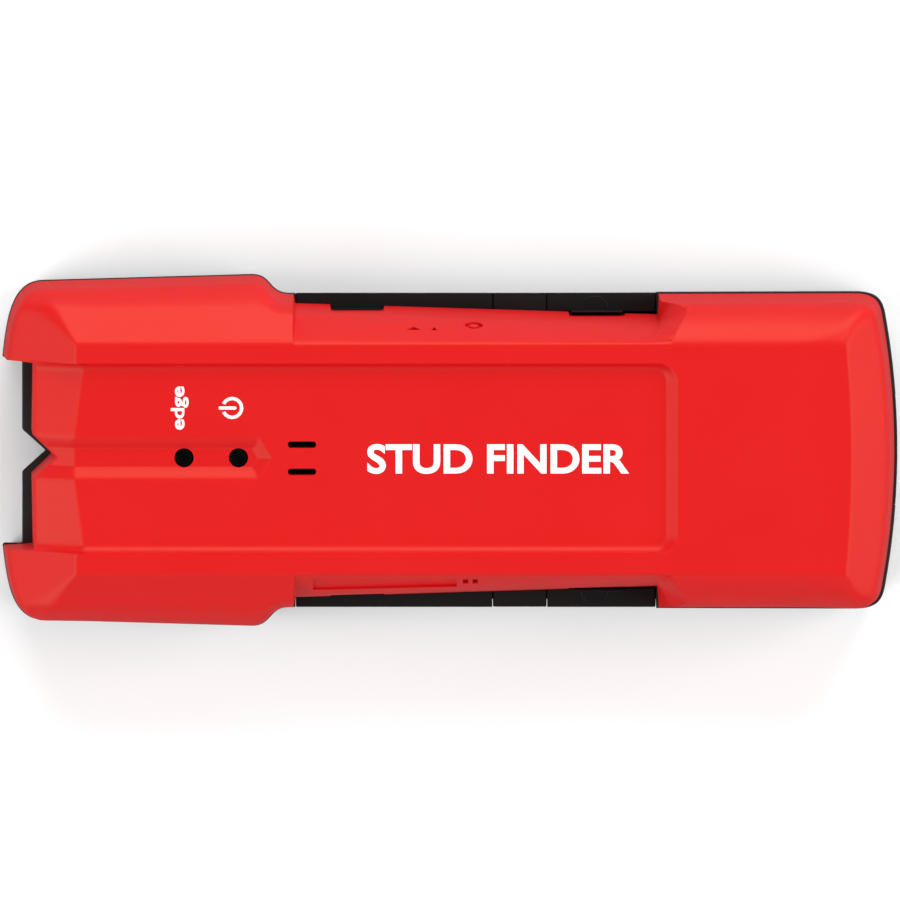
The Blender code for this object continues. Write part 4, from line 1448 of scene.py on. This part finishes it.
def makeResistors():
    lay = Matrix.Rotation(math.pi / 2, 3, "Y")
    half = [(0.2, 3.0), (0.7, 3.0), (1.08, 2.5), (1.1, 1.6), (0.9, 1.3)]
    shape = [(r, -h) for r, h in half] + half[::-1]
    for number, (node, colour) in enumerate(bands.items(), 1):
        centre = tuple(middleMm(node))
        body = softened(shape, 0.3)
        made = turnedPiece(f"resistorBody{number}", body, centre, finishes["resistor_body"], 32, lay)
        show(made, "case", "resistor_body", node)
        paint = mouldedPlastic(f"bandPaint{number}", colour, 0.4, blackGrain)
        ring = ((0.85, -0.2), (0.93, -0.2), (0.93, 0.2), (0.85, 0.2))
        first = (centre[0] - 0.8, *centre[1:])
        rings = turnedPiece(f"resistorBands{number}", ring, first, paint, 32, lay)
        repeat(rings, 3, (0.8, 0, 0), paint)
        show(rings, "case")


def makeSounder():
    low, high = boxMm("sounder_case")
    centre = axisOf("sounder_case")
    r = (high[0] - low[0]) / 2
    cup = [(0.4, low[2]), (r, low[2]), (r, high[2] - 0.4), (r - 0.5, high[2]), (1.4, high[2]), (1.4, 13.4)]
    cup += [(5.2, 13.4), (5.2, 7.6), (0.4, 7.6)]
    made = turnedPiece("sounderCup", softened(cup, 0.25), centre, finishes["black_plastic"], 56)
    show(made, "case", "black_plastic", "sounder_case")
    low, high = boxMm("sounder_disc")
    disc = [(0.2, low[2]), (4.8, low[2]), (4.8, high[2]), (0.2, high[2])]
    made = turnedPiece("sounderPlate", softened(disc, 0.08), centre, finishes["brass"], 48)
    show(made, "case", "brass", "sounder_disc")


def makeBattery():
    low, high = boxMm("battery_case")
    r = 2.4
    half, mid, tall = high[1], (low[2] + high[2]) / 2, (high[2] - low[2]) / 2
    rings = []
    ends = ((0.0, 0.9), (0.25, 0.3), (0.8, 0.0))
    sections = [(low[0] + x, shrink) for x, shrink in ends]
    sections += [(high[0] - x, shrink) for x, shrink in ends[::-1]]
    for x, shrink in sections:
        ring = []
        for cy, cz, start in ((1, 1, 0), (-1, 1, 90), (-1, -1, 180), (1, -1, 270)):
            for angle in np.radians(np.linspace(start, start + 90, 9)):
                y = cy * (half - r) + (r - shrink) * math.cos(angle)
                z = mid + cz * (tall - r) + (r - shrink) * math.sin(angle)
                ring.append((x, y, z))
        rings.append(ring)
    made = ringSolid("batteryJacket", rings, finishes["battery_wrap"], 50)
    show(made, "case", "battery_wrap", "battery_case")
    lay = Matrix.Rotation(-math.pi / 2, 3, "Y")
    steel = finishes["steel"]
    snap = [(0.3, 0.0), (3.2, 0.0), (2.9, 0.5), (2.9, 2.3), (2.5, 2.7), (2.1, 2.7), (2.0, 1.6), (0.3, 1.5)]
    cup = [(0.3, 0.0), (3.6, 0.0), (3.7, 0.9), (4.1, 2.5), (3.7, 2.7), (3.2, 2.3), (3.0, 1.2), (0.3, 1.1)]
    studs = {"positive": snap, "negative": cup}
    for name, profile in studs.items():
        node = f"battery_stud_{name}"
        nodeLow, nodeHigh = boxMm(node)
        centre = (nodeHigh[0], (nodeLow[1] + nodeHigh[1]) / 2, mid)
        stud = turnedPiece(f"{name}Stud", softened(profile, 0.25), centre, steel, 40, lay)
        show(stud, "case", "steel", node)
    low, high = boxMm("battery_foam")
    foam = block("foamPad", *zip(low, high), finishes["grey_foam"], 0.35)
    show(foam, "door", "grey_foam", "battery_foam")


makeCaseScrews()
makeWindows()
makeBoardParts()
makeBattery()
print("inner parts made")


# ---- camera, lights and floor


def makeStage():
    centre = Vector((0.0, 0.0, 0.012))
    tilt = math.radians(4.3)
    away = 5.0
    data = bpy.data.cameras.new("camera")
    data.sensor_width = 36
    data.clip_end = 50
    camera = linked("camera", data)
    bpy.context.scene.camera = camera
    back = Vector((0, math.sin(tilt), math.cos(tilt)))
    right = Vector((1, 0, 0))
    up = back.cross(right)
    camera.matrix_world = Matrix((right, up, back)).transposed().to_4x4()
    camera.location = centre + back * away
    # the tool almost fills the width of the view
    span = (cadHigh.x - cadLow.x) * 1.005137
    data.lens = data.sensor_width * away / span
    floor = bpy.data.meshes.new("floor")
    reach = 3.0
    corners = [(-reach, -reach, 0), (reach, -reach, 0), (reach, reach, 0), (-reach, reach, 0)]
    floor.from_pydata(corners, [], [(0, 1, 2, 3)])
    pale = Finish("paleFloor", (0.98, 0.98, 0.98), 0.9)
    floor.materials.append(pale.material)
    floorObject = linked("floor", floor)
    floorObject.visible_glossy = False
    lights = {
        "rearSoft": ((1.07, 0.0, 0.75), 1.1, 12.0),
        "rightSoft": ((0.1, 1.12, 0.64), 1.2, 16.5),
        "frontSoft": ((-1.0, -0.4, 0.75), 1.1, 12.5),
        "leftSoft": ((0.2, -1.1, 0.8), 1.1, 3.5),
    }
    for name, (place, size, power) in lights.items():
        lamp = bpy.data.lights.new(name, "AREA")
        lamp.shape = "SQUARE"
        lamp.size = size
        lamp.energy = power
        obj = linked(name, lamp)
        obj.location = place
        obj.rotation_euler = (-Vector(place)).to_track_quat("-Z", "Y").to_euler()
    world = bpy.data.worlds.new("room")
    world.use_nodes = True
    sky = world.node_tree.nodes["Background"].inputs
    sky[0].default_value, sky[1].default_value = (1, 1, 1, 1), 0.22
    bpy.context.scene.world = world
    bpy.context.scene.view_settings.view_transform = "Standard"


makeStage()
